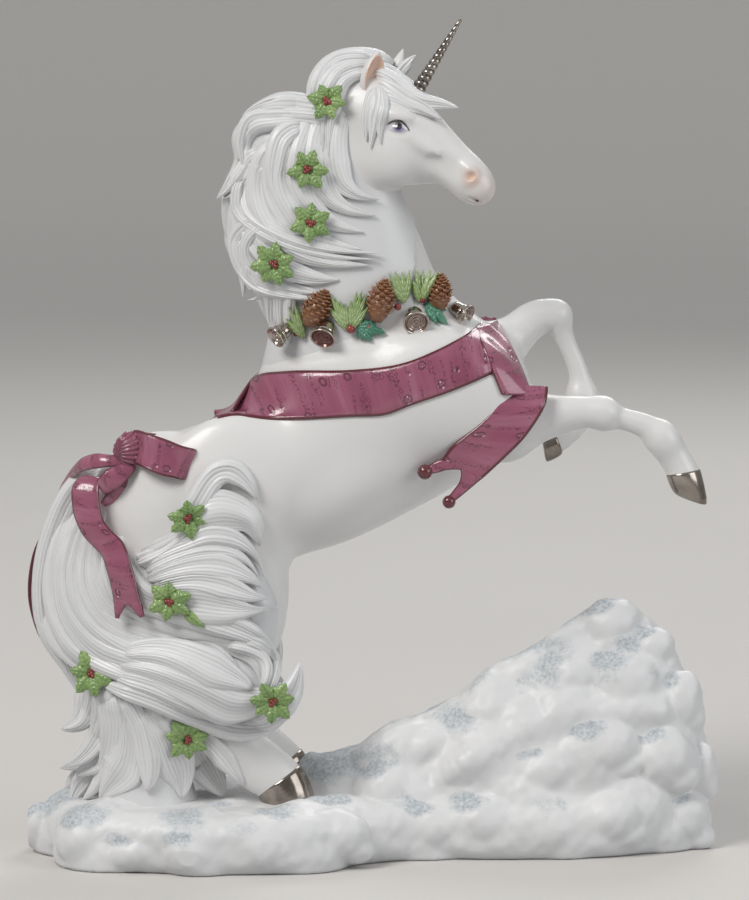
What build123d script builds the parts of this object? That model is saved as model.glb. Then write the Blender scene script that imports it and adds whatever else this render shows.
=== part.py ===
from build123d import *

import os
from math import cos, pi, radians, sin

# Porcelain figurine of a rearing unicorn on a snow drift, in winter dress.
#
# The figure is cast in many small moulds, and the castings are stuck together with slip before
# the firing. Each casting here is a solid of its own, cut to sit on the castings that carry it.
# The origin is at the middle of the underside, +X the way the unicorn faces, +Y to its left, +Z up.
# Places in the side view are read off a drawing in pixels, with a depth beside each, which is a
# share of half the depth of the foot. Sizes are in millimetres.

# Overall sizes
figure_height = 209.0
base_length = 174.0
half_depth = 38.5

# The drawing: a view from a little above, from the unicorn's right
drawing_height_px = 836.0
drawing_centre_px = (374.5, 450.0)
view_distance = 1100.0
view_elevation = 6.0
view_centre_height = 101.0
pixel = figure_height / drawing_height_px
view_level, view_rise = cos(radians(view_elevation)), sin(radians(view_elevation))
eye = Vector(0, -view_distance * view_level, view_centre_height + view_distance * view_rise)

# Seats and ends of castings
overrun = 5.0
tip_radius = 0.4
least_solid_share = 0.03
toward_viewer = Vector(0, -1, 0)


def spot(px, py, depth_share=0.0):
    """The point at a depth that is seen at a pixel of the drawing."""
    y = depth_share * half_depth
    across = (px - drawing_centre_px[0]) * pixel
    above = (drawing_centre_px[1] - py) * pixel
    t = (y + view_distance * view_level) / (above * view_rise + view_distance * view_level)
    return Vector(t * across, y, eye.Z + t * (above * view_level - view_distance * view_rise))


def meet(one, other):
    """Whether the boxes round two castings touch."""
    a, b = one.bounding_box(), other.bounding_box()
    low_a, high_a, low_b, high_b = tuple(a.min), tuple(a.max), tuple(b.min), tuple(b.max)
    return all(low_a[i] < high_b[i] and low_b[i] < high_a[i] for i in range(3))


def seated(casting, hosts):
    """The solids of a casting cut to sit on its hosts, without the slivers that a cut leaves."""
    whole = casting.volume / len(casting.solids())
    with BuildPart() as made:
        add(casting)
        for host in hosts:
            if meet(casting, host):
                add(host, mode=Mode.SUBTRACT)
    return [solid for solid in made.part.solids() if solid.volume > least_solid_share * whole]


def limb(stations, skin=0.0):
    """A casting lofted through ovals. A station is (upper, lower, depth share, round share)."""
    with BuildPart() as made:
        for upper, lower, depth_share, round_share in stations:
            high, low = spot(*upper, depth_share), spot(*lower, depth_share)
            up, side = (high - low).normalized(), Vector(0, 1, 0)
            half_up = (high - low).length / 2
            with BuildSketch(Plane((high + low) * 0.5, x_dir=up, z_dir=up.cross(side))):
                Ellipse(half_up + skin, half_up * round_share + skin)
        loft()
    return made.part


def lock(stops, width, thickness, facing=toward_viewer):
    """A pointed lock of hair through ellipses. A stop is (px, py, depth share, width share)."""
    points = [spot(px, py, depth_share) for px, py, depth_share, _ in stops]
    last = len(points) - 1
    with BuildPart() as made:
        for i, point in enumerate(points):
            along = (points[min(i + 1, last)] - points[max(i - 1, 0)]).normalized()
            out = (facing - along * along.dot(facing)).normalized()
            share = stops[i][3]
            with BuildSketch(Plane(point, x_dir=along.cross(out), z_dir=along)):
                Ellipse(max(width * share / 2, tip_radius), max(thickness * share / 2, tip_radius))
        loft()
    return made.part


def strip(stations, thickness):
    """A folded strip of ribbon. A station is (one edge, other edge, depth share at each)."""
    edges = [(spot(*a, deep_a), spot(*b, deep_b)) for a, b, deep_a, deep_b in stations]
    middles = [(a + b) * 0.5 for a, b in edges]
    last = len(edges) - 1
    with BuildPart() as made:
        for i, (a, b) in enumerate(edges):
            across = (b - a).normalized()
            along = middles[min(i + 1, last)] - middles[max(i - 1, 0)]
            along = (along - across * across.dot(along)).normalized()
            with BuildSketch(Plane(middles[i], x_dir=across, z_dir=along)):
                Rectangle((b - a).length, thickness)
        loft()
    return made.part


def prism(outline_px, reach):
    """A block from side to side with an outline read off the drawing at the middle depth."""
    points = [spot(px, py) for px, py in outline_px]
    with BuildPart() as made:
        with BuildSketch(Plane.XZ):
            with BuildLine():
                Polyline(*[(p.X, p.Z) for p in points], close=True)
            make_face()
        extrude(amount=reach, both=True)
    return made.part


def surface_plane(px, py, hosts, turn=0.0, lean=0.5):
    """A plane on the castings where the drawing shows a pixel, leaning to the viewer by a share."""
    sight = Axis(eye, spot(px, py) - eye)
    hits = [hit for host in hosts for hit in host.find_intersection_points(sight)]
    hits = hits or [(spot(px, py), toward_viewer)]
    point, normal = min(hits, key=lambda hit: (hit[0] - eye).length)
    if normal.dot(toward_viewer) < 0:
        normal = normal * -1
    out = (normal * (1 - lean) + toward_viewer * lean).normalized()
    level = Vector(0, 0, 1).cross(out * -1).normalized()
    return Plane(point, x_dir=level, z_dir=out).rotated((0, 0, turn))


import time
t0 = time.time()


def tick(what):
    print(what, round(time.time() - t0, 2), flush=True)


os.makedirs("parts", exist_ok=True)

# Snow drift: a foot with a steep hill at its front end, both heaped with rounded lumps
foot_height = 15.5
snow_height = 62.6
lump_radius = 12.0
foot_outline_shares = (
    (-0.500, 0.02), (-0.482, -0.38), (-0.430, -0.76), (-0.345, -0.90), (-0.250, -0.99),
    (-0.150, -0.97), (-0.070, -0.86), (0.000, -0.60), (0.080, -0.46), (0.190, -0.47),
    (0.280, -0.44), (0.370, -0.36), (0.450, -0.14), (0.497, 0.10), (0.482, 0.50),
    (0.420, 0.78), (0.300, 0.96), (0.160, 0.99), (0.020, 0.90), (-0.120, 0.84),
    (-0.260, 0.72), (-0.380, 0.52), (-0.465, 0.28),
)
# Height share and size share of each level of the foot
foot_level_shares = ((0.0, 0.975), (0.16, 1.0), (0.52, 0.995), (0.80, 0.955), (1.0, 0.86))
# Height, rear, front, right and left shares of each level of the hill
hill_level_shares = (
    (0.16, -0.138, 0.494, -0.42, 0.91), (0.29, -0.103, 0.496, -0.39, 0.88),
    (0.38, -0.057, 0.490, -0.34, 0.81), (0.51, 0.011, 0.482, -0.26, 0.73),
    (0.62, 0.098, 0.472, -0.18, 0.65), (0.735, 0.167, 0.452, -0.08, 0.57),
    (0.845, 0.230, 0.420, 0.03, 0.49), (0.94, 0.287, 0.397, 0.10, 0.42),
    (1.0, 0.328, 0.374, 0.18, 0.31),
)
# Length, depth, height and radius shares of each lump
lump_shares = (
    (-0.42, -0.36, 0.10, 0.83), (-0.356, -0.62, 0.11, 0.88), (-0.27, -0.70, 0.10, 0.83),
    (-0.178, -0.70, 0.10, 0.88), (-0.086, -0.57, 0.10, 0.88), (0.011, -0.37, 0.13, 0.88),
    (0.092, -0.22, 0.19, 0.92), (0.172, -0.20, 0.19, 1.0), (0.253, -0.20, 0.21, 1.0),
    (0.333, -0.16, 0.22, 1.0), (0.405, -0.04, 0.29, 0.96), (0.432, 0.21, 0.42, 0.80),
    (0.356, 0.02, 0.51, 0.92), (0.264, 0.05, 0.54, 0.92), (0.172, 0.08, 0.43, 0.92),
    (0.379, 0.16, 0.70, 0.79), (0.316, 0.16, 0.78, 0.75), (-0.011, 0.16, 0.26, 1.0),
    (0.057, 0.68, 0.22, 0.92), (0.172, 0.66, 0.26, 1.0), (0.287, 0.64, 0.29, 0.96),
    (0.379, 0.50, 0.32, 0.92), (-0.115, 0.56, 0.11, 0.92), (-0.241, 0.44, 0.11, 0.83),
    (-0.356, 0.24, 0.11, 0.75), (-0.425, 0.04, 0.10, 0.75),
)
recess_inset = 6.0
recess_depth = 1.5
vent_radius = 3.0
wall_over_recess = 2.0

lumps = [
    Pos(x * base_length, y * half_depth, z * snow_height) * Sphere(lump_radius * radius_share)
    for x, y, z, radius_share in lump_shares
]

with BuildPart() as hill:
    for height_share, rear, front, right, left in hill_level_shares:
        with BuildSketch(Plane.XY.offset(snow_height * height_share)):
            with Locations(((rear + front) / 2 * base_length, (right + left) / 2 * half_depth)):
                Ellipse((front - rear) / 2 * base_length, (left - right) / 2 * half_depth)
    loft()

with BuildPart() as heap:
    add([hill.part, *lumps])
    tick("heap")
    # Nothing of the heap reaches down into the recess of the underside
    with Locations((0, 0, recess_depth + wall_over_recess - lump_radius)):
        Box(base_length * 2, half_depth * 4, lump_radius * 2, mode=Mode.SUBTRACT)
tick("heap cut")

with BuildPart() as snow_base:
    for height_share, size_share in foot_level_shares:
        length, depth = base_length * size_share, half_depth * size_share
        with BuildSketch(Plane.XY.offset(foot_height * height_share)):
            with BuildLine():
                Spline(*[(x * length, y * depth) for x, y in foot_outline_shares], periodic=True)
            make_face()
    loft()
    # The underside has a shallow recess inside its foot rim, and the vent of the casting
    recess_length, recess_half_depth = base_length - recess_inset * 2, half_depth - recess_inset
    with BuildSketch(Plane.XY):
        with BuildLine():
            Spline(
                *[(x * recess_length, y * recess_half_depth) for x, y in foot_outline_shares],
                periodic=True,
            )
        make_face()
    extrude(amount=recess_depth, mode=Mode.SUBTRACT)
    with BuildSketch(Plane.XY):
        Circle(vent_radius)
    extrude(amount=recess_depth + wall_over_recess, mode=Mode.SUBTRACT)
    tick("foot")
    add(heap.part, clean=False)
    tick("base")
snow_base.part.label = "snow_base"
export_step(snow_base.part, "parts/snow_base.step")
print("base", snow_base.part.bounding_box(), len(snow_base.part.solids()))

# Torso, from the buttocks to the chest: upper and lower outline points of each section
torso_stations = (
    ((88, 512), (112, 556), 0, 0.92),
    ((98, 478), (165, 600), 0, 0.83),
    ((140, 447), (226, 590), 0, 0.83),
    ((195, 427), (288, 558), 0, 0.88),
    ((250, 398), (340, 534), 0, 0.88),
    ((305, 360), (404, 514), 0, 0.80),
    ((360, 330), (454, 486), 0, 0.79),
    ((420, 318), (494, 452), 0, 0.81),
    ((470, 330), (512, 412), 0, 0.86),
    ((492, 346), (518, 394), 0, 0.84),
)
with BuildPart() as torso:
    add(limb(torso_stations))
torso.part.label = "torso"
export_step(torso.part, "parts/torso.step")

# Head, from the poll to the lips, turned a little to the viewer, with its muzzle sloping down
head_stations = (
    ((338, 84), (346, 128), -0.03, 0.80),
    ((362, 68), (356, 148), -0.06, 0.69),
    ((390, 72), (372, 174), -0.09, 0.66),
    ((412, 88), (394, 184), -0.12, 0.69),
    ((432, 112), (416, 182), -0.17, 0.75),
    ((450, 136), (434, 182), -0.22, 0.87),
    ((468, 153), (448, 193), -0.27, 0.89),
    ((485, 170), (473, 206), -0.31, 0.87),
    ((490, 180), (481, 202), -0.325, 0.80),
)
nostril_px = (474, 176)
nostril_radius = 1.1
with BuildPart() as head:
    add(limb(head_stations))
    with BuildSketch(surface_plane(*nostril_px, [head.part], turn=40)):
        Ellipse(nostril_radius, nostril_radius / 2)
    extrude(amount=-nostril_radius, mode=Mode.SUBTRACT)
head.part.label = "head"
export_step(head.part, "parts/head.step")
tick("head")

# Neck, from inside the shoulders up to the poll
neck_stations = (
    ((272, 446), (470, 418), 0, 0.47),
    ((262, 392), (476, 352), 0, 0.58),
    ((270, 345), (462, 316), 0, 0.61),
    ((280, 295), (438, 277), -0.01, 0.65),
    ((288, 245), (422, 240), -0.02, 0.67),
    ((300, 190), (404, 204), -0.03, 0.73),
    ((320, 138), (390, 176), -0.04, 0.87),
    ((344, 104), (384, 146), -0.06, 0.97),
)
with BuildPart() as neck:
    add(seated(limb(neck_stations), [torso.part, head.part]))
neck.part.label = "neck"
export_step(neck.part, "parts/neck.step")
tick("neck")

# Horn: circles that step round the axis on the way to the point, which leaves a spiral ridge
horn_base_px, horn_tip_px = (411, 101), (461, 19)
horn_base_depth_share, horn_tip_depth_share = -0.14, -0.12
horn_radius = 2.5
horn_tip_radius = 0.35
horn_groove_share = 0.14
horn_turns = 14
horn_steps_per_turn = 5
with BuildPart() as horn:
    root, tip = spot(*horn_base_px, horn_base_depth_share), spot(*horn_tip_px, horn_tip_depth_share)
    steps = horn_turns * horn_steps_per_turn
    for i in range(steps + 1):
        radius = horn_radius + (horn_tip_radius - horn_radius) * i / steps
        turn = 2 * pi * i / horn_steps_per_turn
        with BuildSketch(Plane(root + (tip - root) * (i / steps), z_dir=tip - root)):
            with Locations((radius * horn_groove_share * cos(turn), radius * horn_groove_share * sin(turn))):
                Circle(radius * (1 - horn_groove_share))
    loft()
    add(head.part, mode=Mode.SUBTRACT)
horn.part.label = "horn"
export_step(horn.part, "parts/horn.step")
tick("horn")

# Ears: pointed cups that open forwards and outwards
ear_width = 6.4
ear_thickness = 4.0
ear_wall = 0.9
ear_cup_share = 0.55
ear_stops = {
    "right_ear": ((384, 112, -0.16, 0.70), (378, 95, -0.18, 1.00), (375, 75, -0.19, 0.86),
                  (373, 62, -0.20, 0.50), (375, 52, -0.20, 0.05)),
    "left_ear": ((392, 88, 0.06, 0.70), (395, 75, 0.08, 0.90), (399, 62, 0.09, 0.66),
                 (403, 50, 0.10, 0.05)),
}
ear_openings = {"right_ear": (0.45, -1, 0.25), "left_ear": (0.8, 0.3, 0.2)}
ears = {}
for name, stops in ear_stops.items():
    opening = Vector(*ear_openings[name]).normalized()
    with BuildPart() as ears[name]:
        add(lock(stops, ear_width, ear_thickness, opening))
        cup = lock(stops, ear_width - ear_wall * 2, ear_thickness, opening)
        add(cup.moved(Location(opening * ear_thickness * ear_cup_share)), mode=Mode.SUBTRACT)
        add(head.part, mode=Mode.SUBTRACT)
    print(name, [round(s.volume, 1) for s in ears[name].part.solids()])
tick("ears")

# Legs, from inside the trunk to the crown of the hoof, and hooves from there to the sole
right_foreleg_stations = (
    ((486, 372), (486, 456), -0.26, 0.55),
    ((520, 384), (510, 456), -0.32, 0.79),
    ((548, 394), (542, 441), -0.32, 0.95),
    ((574, 396), (572, 431), -0.32, 0.95),
    ((598, 398), (602, 429), -0.32, 0.95),
    ((624, 407), (618, 430), -0.31, 0.92),
    ((648, 415), (638, 439), -0.30, 0.88),
    ((670, 424), (653, 457), -0.29, 0.82),
    ((688, 444), (662, 470), -0.29, 0.78),
    ((700, 470), (667, 476), -0.28, 0.92),
)
right_fore_hoof_stations = (
    ((700, 470), (667, 476), -0.28, 0.96),
    ((703, 484), (672, 485), -0.28, 0.97),
    ((706, 502), (680, 494), -0.28, 0.98),
)
left_foreleg_width = 10.0
left_foreleg_depth = 9.4
left_forearm_stops = (
    (473, 366, 0.22, 1.50), (504, 347, 0.30, 1.30), (527, 326, 0.32, 1.00), (546, 316, 0.33, 0.83),
    (558, 318, 0.33, 0.70),
)
left_shin_stops = (
    (550, 312, 0.33, 0.55), (559, 322, 0.33, 0.78), (568, 340, 0.33, 0.66), (575, 360, 0.33, 0.58),
    (581, 382, 0.33, 0.66), (583, 400, 0.33, 0.76), (577, 416, 0.33, 0.68), (567, 429, 0.33, 0.62),
    (557, 439, 0.33, 0.64),
)
left_fore_hoof_stops = ((557, 439, 0.33, 0.68), (551, 443, 0.33, 0.72), (545, 447, 0.33, 0.78))
hind_leg_stations = (
    ((172, 506), (246, 518), -0.16, 0.40),
    ((122, 524), (284, 548), -0.26, 0.42),
    ((122, 570), (287, 588), -0.30, 0.47),
    ((136, 618), (280, 630), -0.30, 0.46),
    ((150, 658), (258, 664), -0.30, 0.46),
    ((166, 694), (238, 696), -0.30, 0.56),
    ((190, 726), (240, 716), -0.30, 0.68),
    ((214, 752), (258, 734), -0.30, 0.72),
    ((234, 780), (284, 752), -0.30, 0.68),
    ((258, 793), (300, 768), -0.30, 0.80),
)
hind_hoof_stations = (
    ((258, 793), (300, 768), -0.30, 0.84),
    ((262, 802), (309, 784), -0.30, 0.86),
    ((266, 816), (315, 808), -0.30, 0.88),
)
with BuildPart() as bent_foreleg:
    for stops in (left_forearm_stops, left_shin_stops):
        add(lock(stops, left_foreleg_width, left_foreleg_depth))
leg_forms = {"left_foreleg": bent_foreleg.part}
leg_forms["right_foreleg"] = limb(right_foreleg_stations)
leg_forms["right_hind_leg"] = limb(hind_leg_stations)
leg_forms["left_hind_leg"] = leg_forms["right_hind_leg"].mirror(Plane.XZ)
legs = {}
for name, form in leg_forms.items():
    with BuildPart() as legs[name]:
        add(seated(form, [torso.part, neck.part]))
    legs[name].part.label = name
    export_step(legs[name].part, f"parts/{name}.step")
    tick(name)
    print(name, form.volume, [round(s.volume, 1) for s in legs[name].part.solids()], flush=True)

# Hooves share the section of the leg's crown; the hind ones stand in the snow
hoof_forms = {"left_fore_hoof": lock(left_fore_hoof_stops, left_foreleg_width, left_foreleg_depth)}
hoof_forms["right_fore_hoof"] = limb(right_fore_hoof_stations)
hoof_forms["right_hind_hoof"] = limb(hind_hoof_stations)
hoof_forms["left_hind_hoof"] = hoof_forms["right_hind_hoof"].mirror(Plane.XZ)
hooves = {}
for name, form in hoof_forms.items():
    with BuildPart() as hooves[name]:
        add(seated(form, [snow_base.part, *[leg.part for leg in legs.values()]]))
    hooves[name].part.label = name
    export_step(hooves[name].part, f"parts/{name}.step")
    print(name, form.volume, [round(s.volume, 1) for s in hooves[name].part.solids()], flush=True)
tick("hooves")

# Hair: pointed locks that flow over each other, joined into one casting a name. A lock is
# (stops, width, thickness), and each casting is cut by those laid before it
hair_locks = {
    "forelock": (
        (((370, 62, -0.13, 0.8), (392, 82, -0.22, 1.0), (412, 99, -0.28, 0.8),
          (436, 106, -0.32, 0.5), (458, 108, -0.34, 0.05)), 5.5, 3.5),
        (((380, 70, -0.16, 0.8), (404, 96, -0.26, 1.0), (426, 110, -0.31, 0.7),
          (446, 118, -0.33, 0.05)), 4.0, 3.0),
    ),
    "cheek_lock": (
        (((368, 90, -0.22, 0.8), (378, 112, -0.31, 1.0), (382, 130, -0.33, 0.7),
          (384, 146, -0.33, 0.05)), 4.6, 3.0),
    ),
    "mane_crest": (
        (((384, 66, -0.06, 0.7), (362, 56, -0.06, 1.0), (336, 66, -0.08, 1.05), (320, 86, -0.12, 1.0),
          (315, 112, -0.16, 0.9), (318, 138, -0.20, 0.7), (324, 164, -0.24, 0.1)), 7.0, 6.5),
        (((338, 122, -0.10, 0.8), (316, 116, -0.12, 1.0), (292, 112, -0.12, 1.0),
          (268, 112, -0.12, 0.7), (243, 116, -0.12, 0.05)), 6.4, 6.2),
        (((300, 116, -0.10, 0.8), (268, 118, -0.14, 1.0), (247, 132, -0.16, 1.0),
          (242, 154, -0.18, 0.9), (250, 180, -0.20, 0.7), (264, 206, -0.22, 0.1)), 6.0, 5.8),
    ),
    "mane_middle": (
        (((264, 140, -0.06, 0.7), (252, 160, -0.08, 1.0), (240, 178, -0.09, 0.8),
          (217, 199, -0.10, 0.05)), 6.4, 6.2),
        (((258, 150, 0.02, 0.8), (240, 176, 0.00, 1.0), (238, 204, -0.08, 1.0), (262, 228, -0.22, 1.0),
          (300, 246, -0.30, 0.9), (345, 260, -0.32, 0.6), (382, 264, -0.32, 0.1)), 7.2, 6.6),
    ),
    "mane_lower": (
        (((266, 210, -0.02, 0.8), (240, 226, -0.02, 1.0), (236, 252, -0.06, 1.0), (256, 278, -0.12, 0.9),
          (272, 292, -0.14, 0.5), (243, 298, -0.14, 0.05)), 6.8, 6.5),
        (((276, 262, -0.12, 0.8), (270, 290, -0.18, 1.0), (276, 316, -0.24, 0.8),
          (290, 342, -0.30, 0.1)), 6.4, 6.0),
    ),
    "neck_strands": (
        (((352, 104, -0.18, 0.7), (332, 134, -0.24, 1.0), (326, 164, -0.27, 1.0), (344, 194, -0.29, 0.9),
          (366, 204, -0.28, 0.5), (384, 200, -0.26, 0.05)), 7.2, 5.0),
        (((322, 132, -0.14, 0.7), (300, 162, -0.22, 1.0), (306, 196, -0.28, 1.0), (334, 220, -0.32, 0.9),
          (362, 226, -0.31, 0.5), (386, 218, -0.29, 0.05)), 7.6, 5.0),
        (((300, 140, -0.10, 0.7), (278, 172, -0.18, 1.0), (290, 212, -0.27, 1.0), (325, 238, -0.33, 0.9),
          (360, 246, -0.33, 0.5), (386, 240, -0.31, 0.05)), 8.2, 5.0),
    ),
    "tail_core": (
        (((128, 500, 0.00, 0.35), (98, 540, 0.00, 0.62), (84, 590, 0.00, 0.86), (96, 650, 0.00, 0.96),
          (128, 710, -0.02, 1.00), (152, 760, -0.04, 0.98), (160, 812, -0.06, 0.90)), 27.0, 20.0),
    ),
    "tail_outer": (
        (((96, 478, 0.04, 0.5), (66, 505, 0.04, 0.9), (50, 552, 0.02, 1.0), (52, 604, -0.04, 1.0),
          (66, 646, -0.08, 0.9), (84, 676, -0.10, 0.6), (62, 700, -0.10, 0.05)), 9.0, 7.6),
        (((100, 650, -0.10, 0.7), (84, 680, -0.12, 1.0), (78, 706, -0.12, 0.8),
          (62, 730, -0.12, 0.05)), 9.0, 8.0),
        (((112, 690, -0.14, 0.7), (98, 722, -0.16, 1.0), (88, 752, -0.16, 0.8),
          (62, 769, -0.16, 0.05)), 9.4, 9.0),
    ),
    "tail_skirt": (
        (((104, 736, -0.14, 0.8), (90, 766, -0.16, 1.0), (86, 792, -0.16, 1.0),
          (92, 818, -0.16, 0.9)), 10.0, 8.5),
        (((118, 680, -0.30, 0.7), (130, 726, -0.36, 1.0), (136, 770, -0.40, 1.0),
          (128, 818, -0.42, 0.9)), 9.5, 8.0),
        (((140, 690, -0.36, 0.6), (160, 736, -0.42, 1.0), (186, 772, -0.46, 1.0), (224, 796, -0.48, 0.9),
          (244, 806, -0.48, 0.3)), 9.0, 7.5),
        (((180, 690, -0.46, 0.6), (204, 732, -0.52, 1.0), (226, 762, -0.52, 0.8),
          (244, 782, -0.50, 0.2)), 7.5, 6.5),
    ),
    "tail_sweeps": (
        (((92, 520, -0.22, 0.6), (84, 566, -0.30, 1.0), (98, 612, -0.40, 1.0), (140, 640, -0.56, 1.0),
          (190, 646, -0.62, 0.8), (232, 656, -0.62, 0.6), (262, 680, -0.60, 0.1)), 8.4, 7.5),
        (((110, 650, -0.36, 0.6), (150, 672, -0.50, 1.0), (196, 700, -0.60, 1.0), (242, 716, -0.63, 0.9),
          (276, 706, -0.62, 0.6), (299, 663, -0.60, 0.05)), 7.4, 6.0),
        (((196, 640, -0.56, 0.5), (238, 640, -0.64, 0.9), (268, 654, -0.64, 1.0), (266, 684, -0.63, 0.8),
          (248, 712, -0.62, 0.1)), 6.0, 5.5),
    ),
    "tail_curls": (
        (((128, 566, -0.44, 0.5), (158, 552, -0.54, 0.9), (186, 520, -0.58, 1.0), (206, 486, -0.56, 0.7),
          (226, 466, -0.55, 0.05)), 6.6, 5.0),
        (((126, 590, -0.44, 0.5), (158, 566, -0.60, 0.9), (200, 544, -0.66, 1.0), (240, 548, -0.66, 1.0),
          (260, 572, -0.65, 0.8), (258, 596, -0.64, 0.2)), 6.8, 6.0),
        (((126, 604, -0.46, 0.6), (164, 606, -0.60, 1.0), (206, 622, -0.66, 1.0), (250, 618, -0.66, 0.6),
          (287, 604, -0.66, 0.05)), 6.6, 5.5),
    ),
}
mane_hosts = [head.part, neck.part, torso.part, horn.part, *[ear.part for ear in ears.values()]]
tail_hosts = [torso.part, snow_base.part]
tail_hosts += [leg.part for leg in legs.values()] + [hoof.part for hoof in hooves.values()]
hair = {}
for name, locks in hair_locks.items():
    hosts = tail_hosts if name.startswith("tail") else mane_hosts
    with BuildPart() as joined:
        add([lock(*shape) for shape in locks])
    tick(name + " fused")
    with BuildPart() as hair[name]:
        add(seated(joined.part, hosts))
    hosts.append(hair[name].part)
    hair[name].part.label = name
    export_step(hair[name].part, f"parts/{name}.step")
    tick(name)
    print(name, [round(s.volume, 1) for s in hair[name].part.solids()], flush=True)
for name, made in ears.items():
    made.part.label = name
    export_step(made.part, f"parts/{name}.step")
tick("hair")

# Red ribbon: a band round the body and chest, a drape at the shoulder and a bow on the croup
ribbon_thickness = 1.2
ribbon_reach = half_depth
band_outline_px = (
    (200, 423), (232, 402), (262, 373), (300, 369), (340, 368), (380, 366), (400, 362), (440, 350),
    (462, 337), (482, 320), (492, 378), (460, 392), (420, 405), (380, 418), (300, 420), (260, 420),
    (240, 416),
)
strap_outline_px = (
    (466, 326), (470, 310), (496, 312), (512, 330), (524, 352), (536, 392), (500, 390), (488, 360),
)
drape_stations = (
    ((548, 393), (503, 390), -0.53, -0.53),
    ((545, 412), (496, 406), -0.57, -0.57),
    ((528, 438), (482, 420), -0.58, -0.58),
    ((508, 460), (466, 438), -0.55, -0.55),
    ((486, 484), (450, 456), -0.51, -0.51),
    ((456, 501), (430, 470), -0.48, -0.48),
)
drape_ball_radius = 1.5
drape_balls_px = ((424, 473), (448, 503))
bow_stations = {
    "bow_right_loop": (
        ((124, 446), (128, 464), -0.40, -0.40), ((140, 436), (146, 474), -0.52, -0.52),
        ((162, 438), (160, 480), -0.56, -0.56), ((184, 446), (182, 481), -0.53, -0.53),
        ((193, 452), (191, 482), -0.45, -0.45), ((182, 446), (180, 470), -0.36, -0.36),
        ((150, 440), (150, 464), -0.28, -0.28),
    ),
    "bow_left_loop": (
        ((124, 447), (126, 464), -0.38, -0.38), ((106, 449), (106, 471), -0.45, -0.45),
        ((90, 455), (88, 479), -0.43, -0.43), ((80, 462), (80, 484), -0.35, -0.35),
        ((88, 460), (90, 478), -0.25, -0.25), ((112, 452), (112, 466), -0.20, -0.20),
    ),
    "bow_right_tail": (
        ((86, 476), (110, 470), -0.40, -0.42), ((73, 497), (98, 487), -0.44, -0.48),
        ((73, 520), (101, 514), -0.47, -0.51), ((86, 541), (118, 535), -0.50, -0.55),
        ((100, 561), (130, 559), -0.52, -0.57), ((110, 590), (137, 588), -0.53, -0.57),
        ((117, 617), (143, 613), -0.52, -0.56),
    ),
    "bow_left_tail": (
        ((90, 484), (92, 482), 0.00, 0.22), ((66, 500), (68, 498), 0.00, 0.26),
        ((44, 530), (46, 528), 0.00, 0.28), ((32, 566), (33, 564), 0.00, 0.28),
        ((29, 596), (30, 594), 0.00, 0.27), ((42, 636), (43, 634), 0.00, 0.24),
    ),
}
knot_lock = (
    ((112, 464, -0.44, 0.6), (126, 456, -0.49, 1.0), (140, 449, -0.44, 0.6)), 6.5, 5.0,
)
ribbon_hosts = [torso.part, neck.part, *[leg.part for leg in legs.values()]]
sash = {}
for name, outline in (("sash_band", band_outline_px), ("sash_chest_strap", strap_outline_px)):
    with BuildPart() as wrapped:
        add([limb(torso_stations, skin=ribbon_thickness), limb(neck_stations, skin=ribbon_thickness)])
        add(prism(outline, ribbon_reach), mode=Mode.INTERSECT)
    tick(name + " wrapped")
    with BuildPart() as sash[name]:
        add(seated(wrapped.part, ribbon_hosts))
    ribbon_hosts.append(sash[name].part)
    tick(name)
with BuildPart() as draped:
    add(strip(drape_stations, ribbon_thickness * 1.3))
    for place in drape_balls_px:
        with Locations(spot(*place, drape_stations[-1][2])):
            Sphere(drape_ball_radius)
with BuildPart() as sash["sash_drape"]:
    add(seated(draped.part, ribbon_hosts))
tick("drape")
bow_hosts = [torso.part, *[leg.part for leg in legs.values()]]
bow_hosts += [made.part for name, made in hair.items() if name.startswith("tail")]
bow = {}
with BuildPart() as bow["bow_knot"]:
    add(seated(lock(*knot_lock), bow_hosts))
bow_hosts.append(bow["bow_knot"].part)
for name, stations in bow_stations.items():
    with BuildPart() as bow[name]:
        add(seated(strip(stations, ribbon_thickness), bow_hosts))
    bow_hosts.append(bow[name].part)
    tick(name)
for name, made in {**sash, **bow}.items():
    print(name, [round(s.volume, 1) for s in made.part.solids()], flush=True)
    made.part.label = name
    export_step(made.part, f"parts/{name}.step")

# Bells, cones, sprigs, holly and berries of the collar. A place is (px, py, turn)
bell_radius = 3.1
bell_height = 5.6
bell_wall = 0.5
bell_profile_shares = ((0.0, 0.0), (0.45, -0.03), (0.72, -0.25), (0.78, -0.62), (1.0, -1.0))
clapper_radius = 0.8
cone_radius = 4.2
cone_length = 9.0
cone_rings = 5
cone_notch_share = 0.82
sprig_finger_length = 7.0
sprig_finger_width = 1.5
sprig_fingers = 6
sprig_fan_degrees = 110.0
ornament_thickness = 1.6
ornament_root = 3.5
leaf_length = 4.6
leaf_width = 2.4
leaf_count = 4
berry_radius = 1.1
bell_places = (
    (283, 334, (-0.6, -0.6, -0.5)), (320, 329, (0.0, -0.9, -0.35)), (413, 319, (0.05, -0.9, -0.35)),
    (456, 310, (0.7, -0.6, -0.3)),
)
cone_places = ((321, 306, 20), (381, 300, -10), (441, 292, -15))
sprig_places = ((297, 316, 150), (352, 308, 100), (410, 292, 80), (428, 286, 60))
holly_places = ((364, 332, 15), (436, 312, 25))
collar_berry_places = ((350, 329, 0), (398, 308, 0), (369, 326, 0))
mane_cluster_places = ((322, 98, 20), (308, 170, 0), (310, 223, 45), (274, 264, 10))
tail_cluster_places = ((187, 516, 10), (168, 600, 30), (96, 672, 0), (186, 738, 20), (270, 700, 45))

with BuildSketch() as leaf:
    with BuildLine():
        ThreePointArc((0, 0), (leaf_length / 2, leaf_width / 2), (leaf_length, 0))
        ThreePointArc((leaf_length, 0), (leaf_length / 2, -leaf_width / 2), (0, 0))
    make_face()

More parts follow.
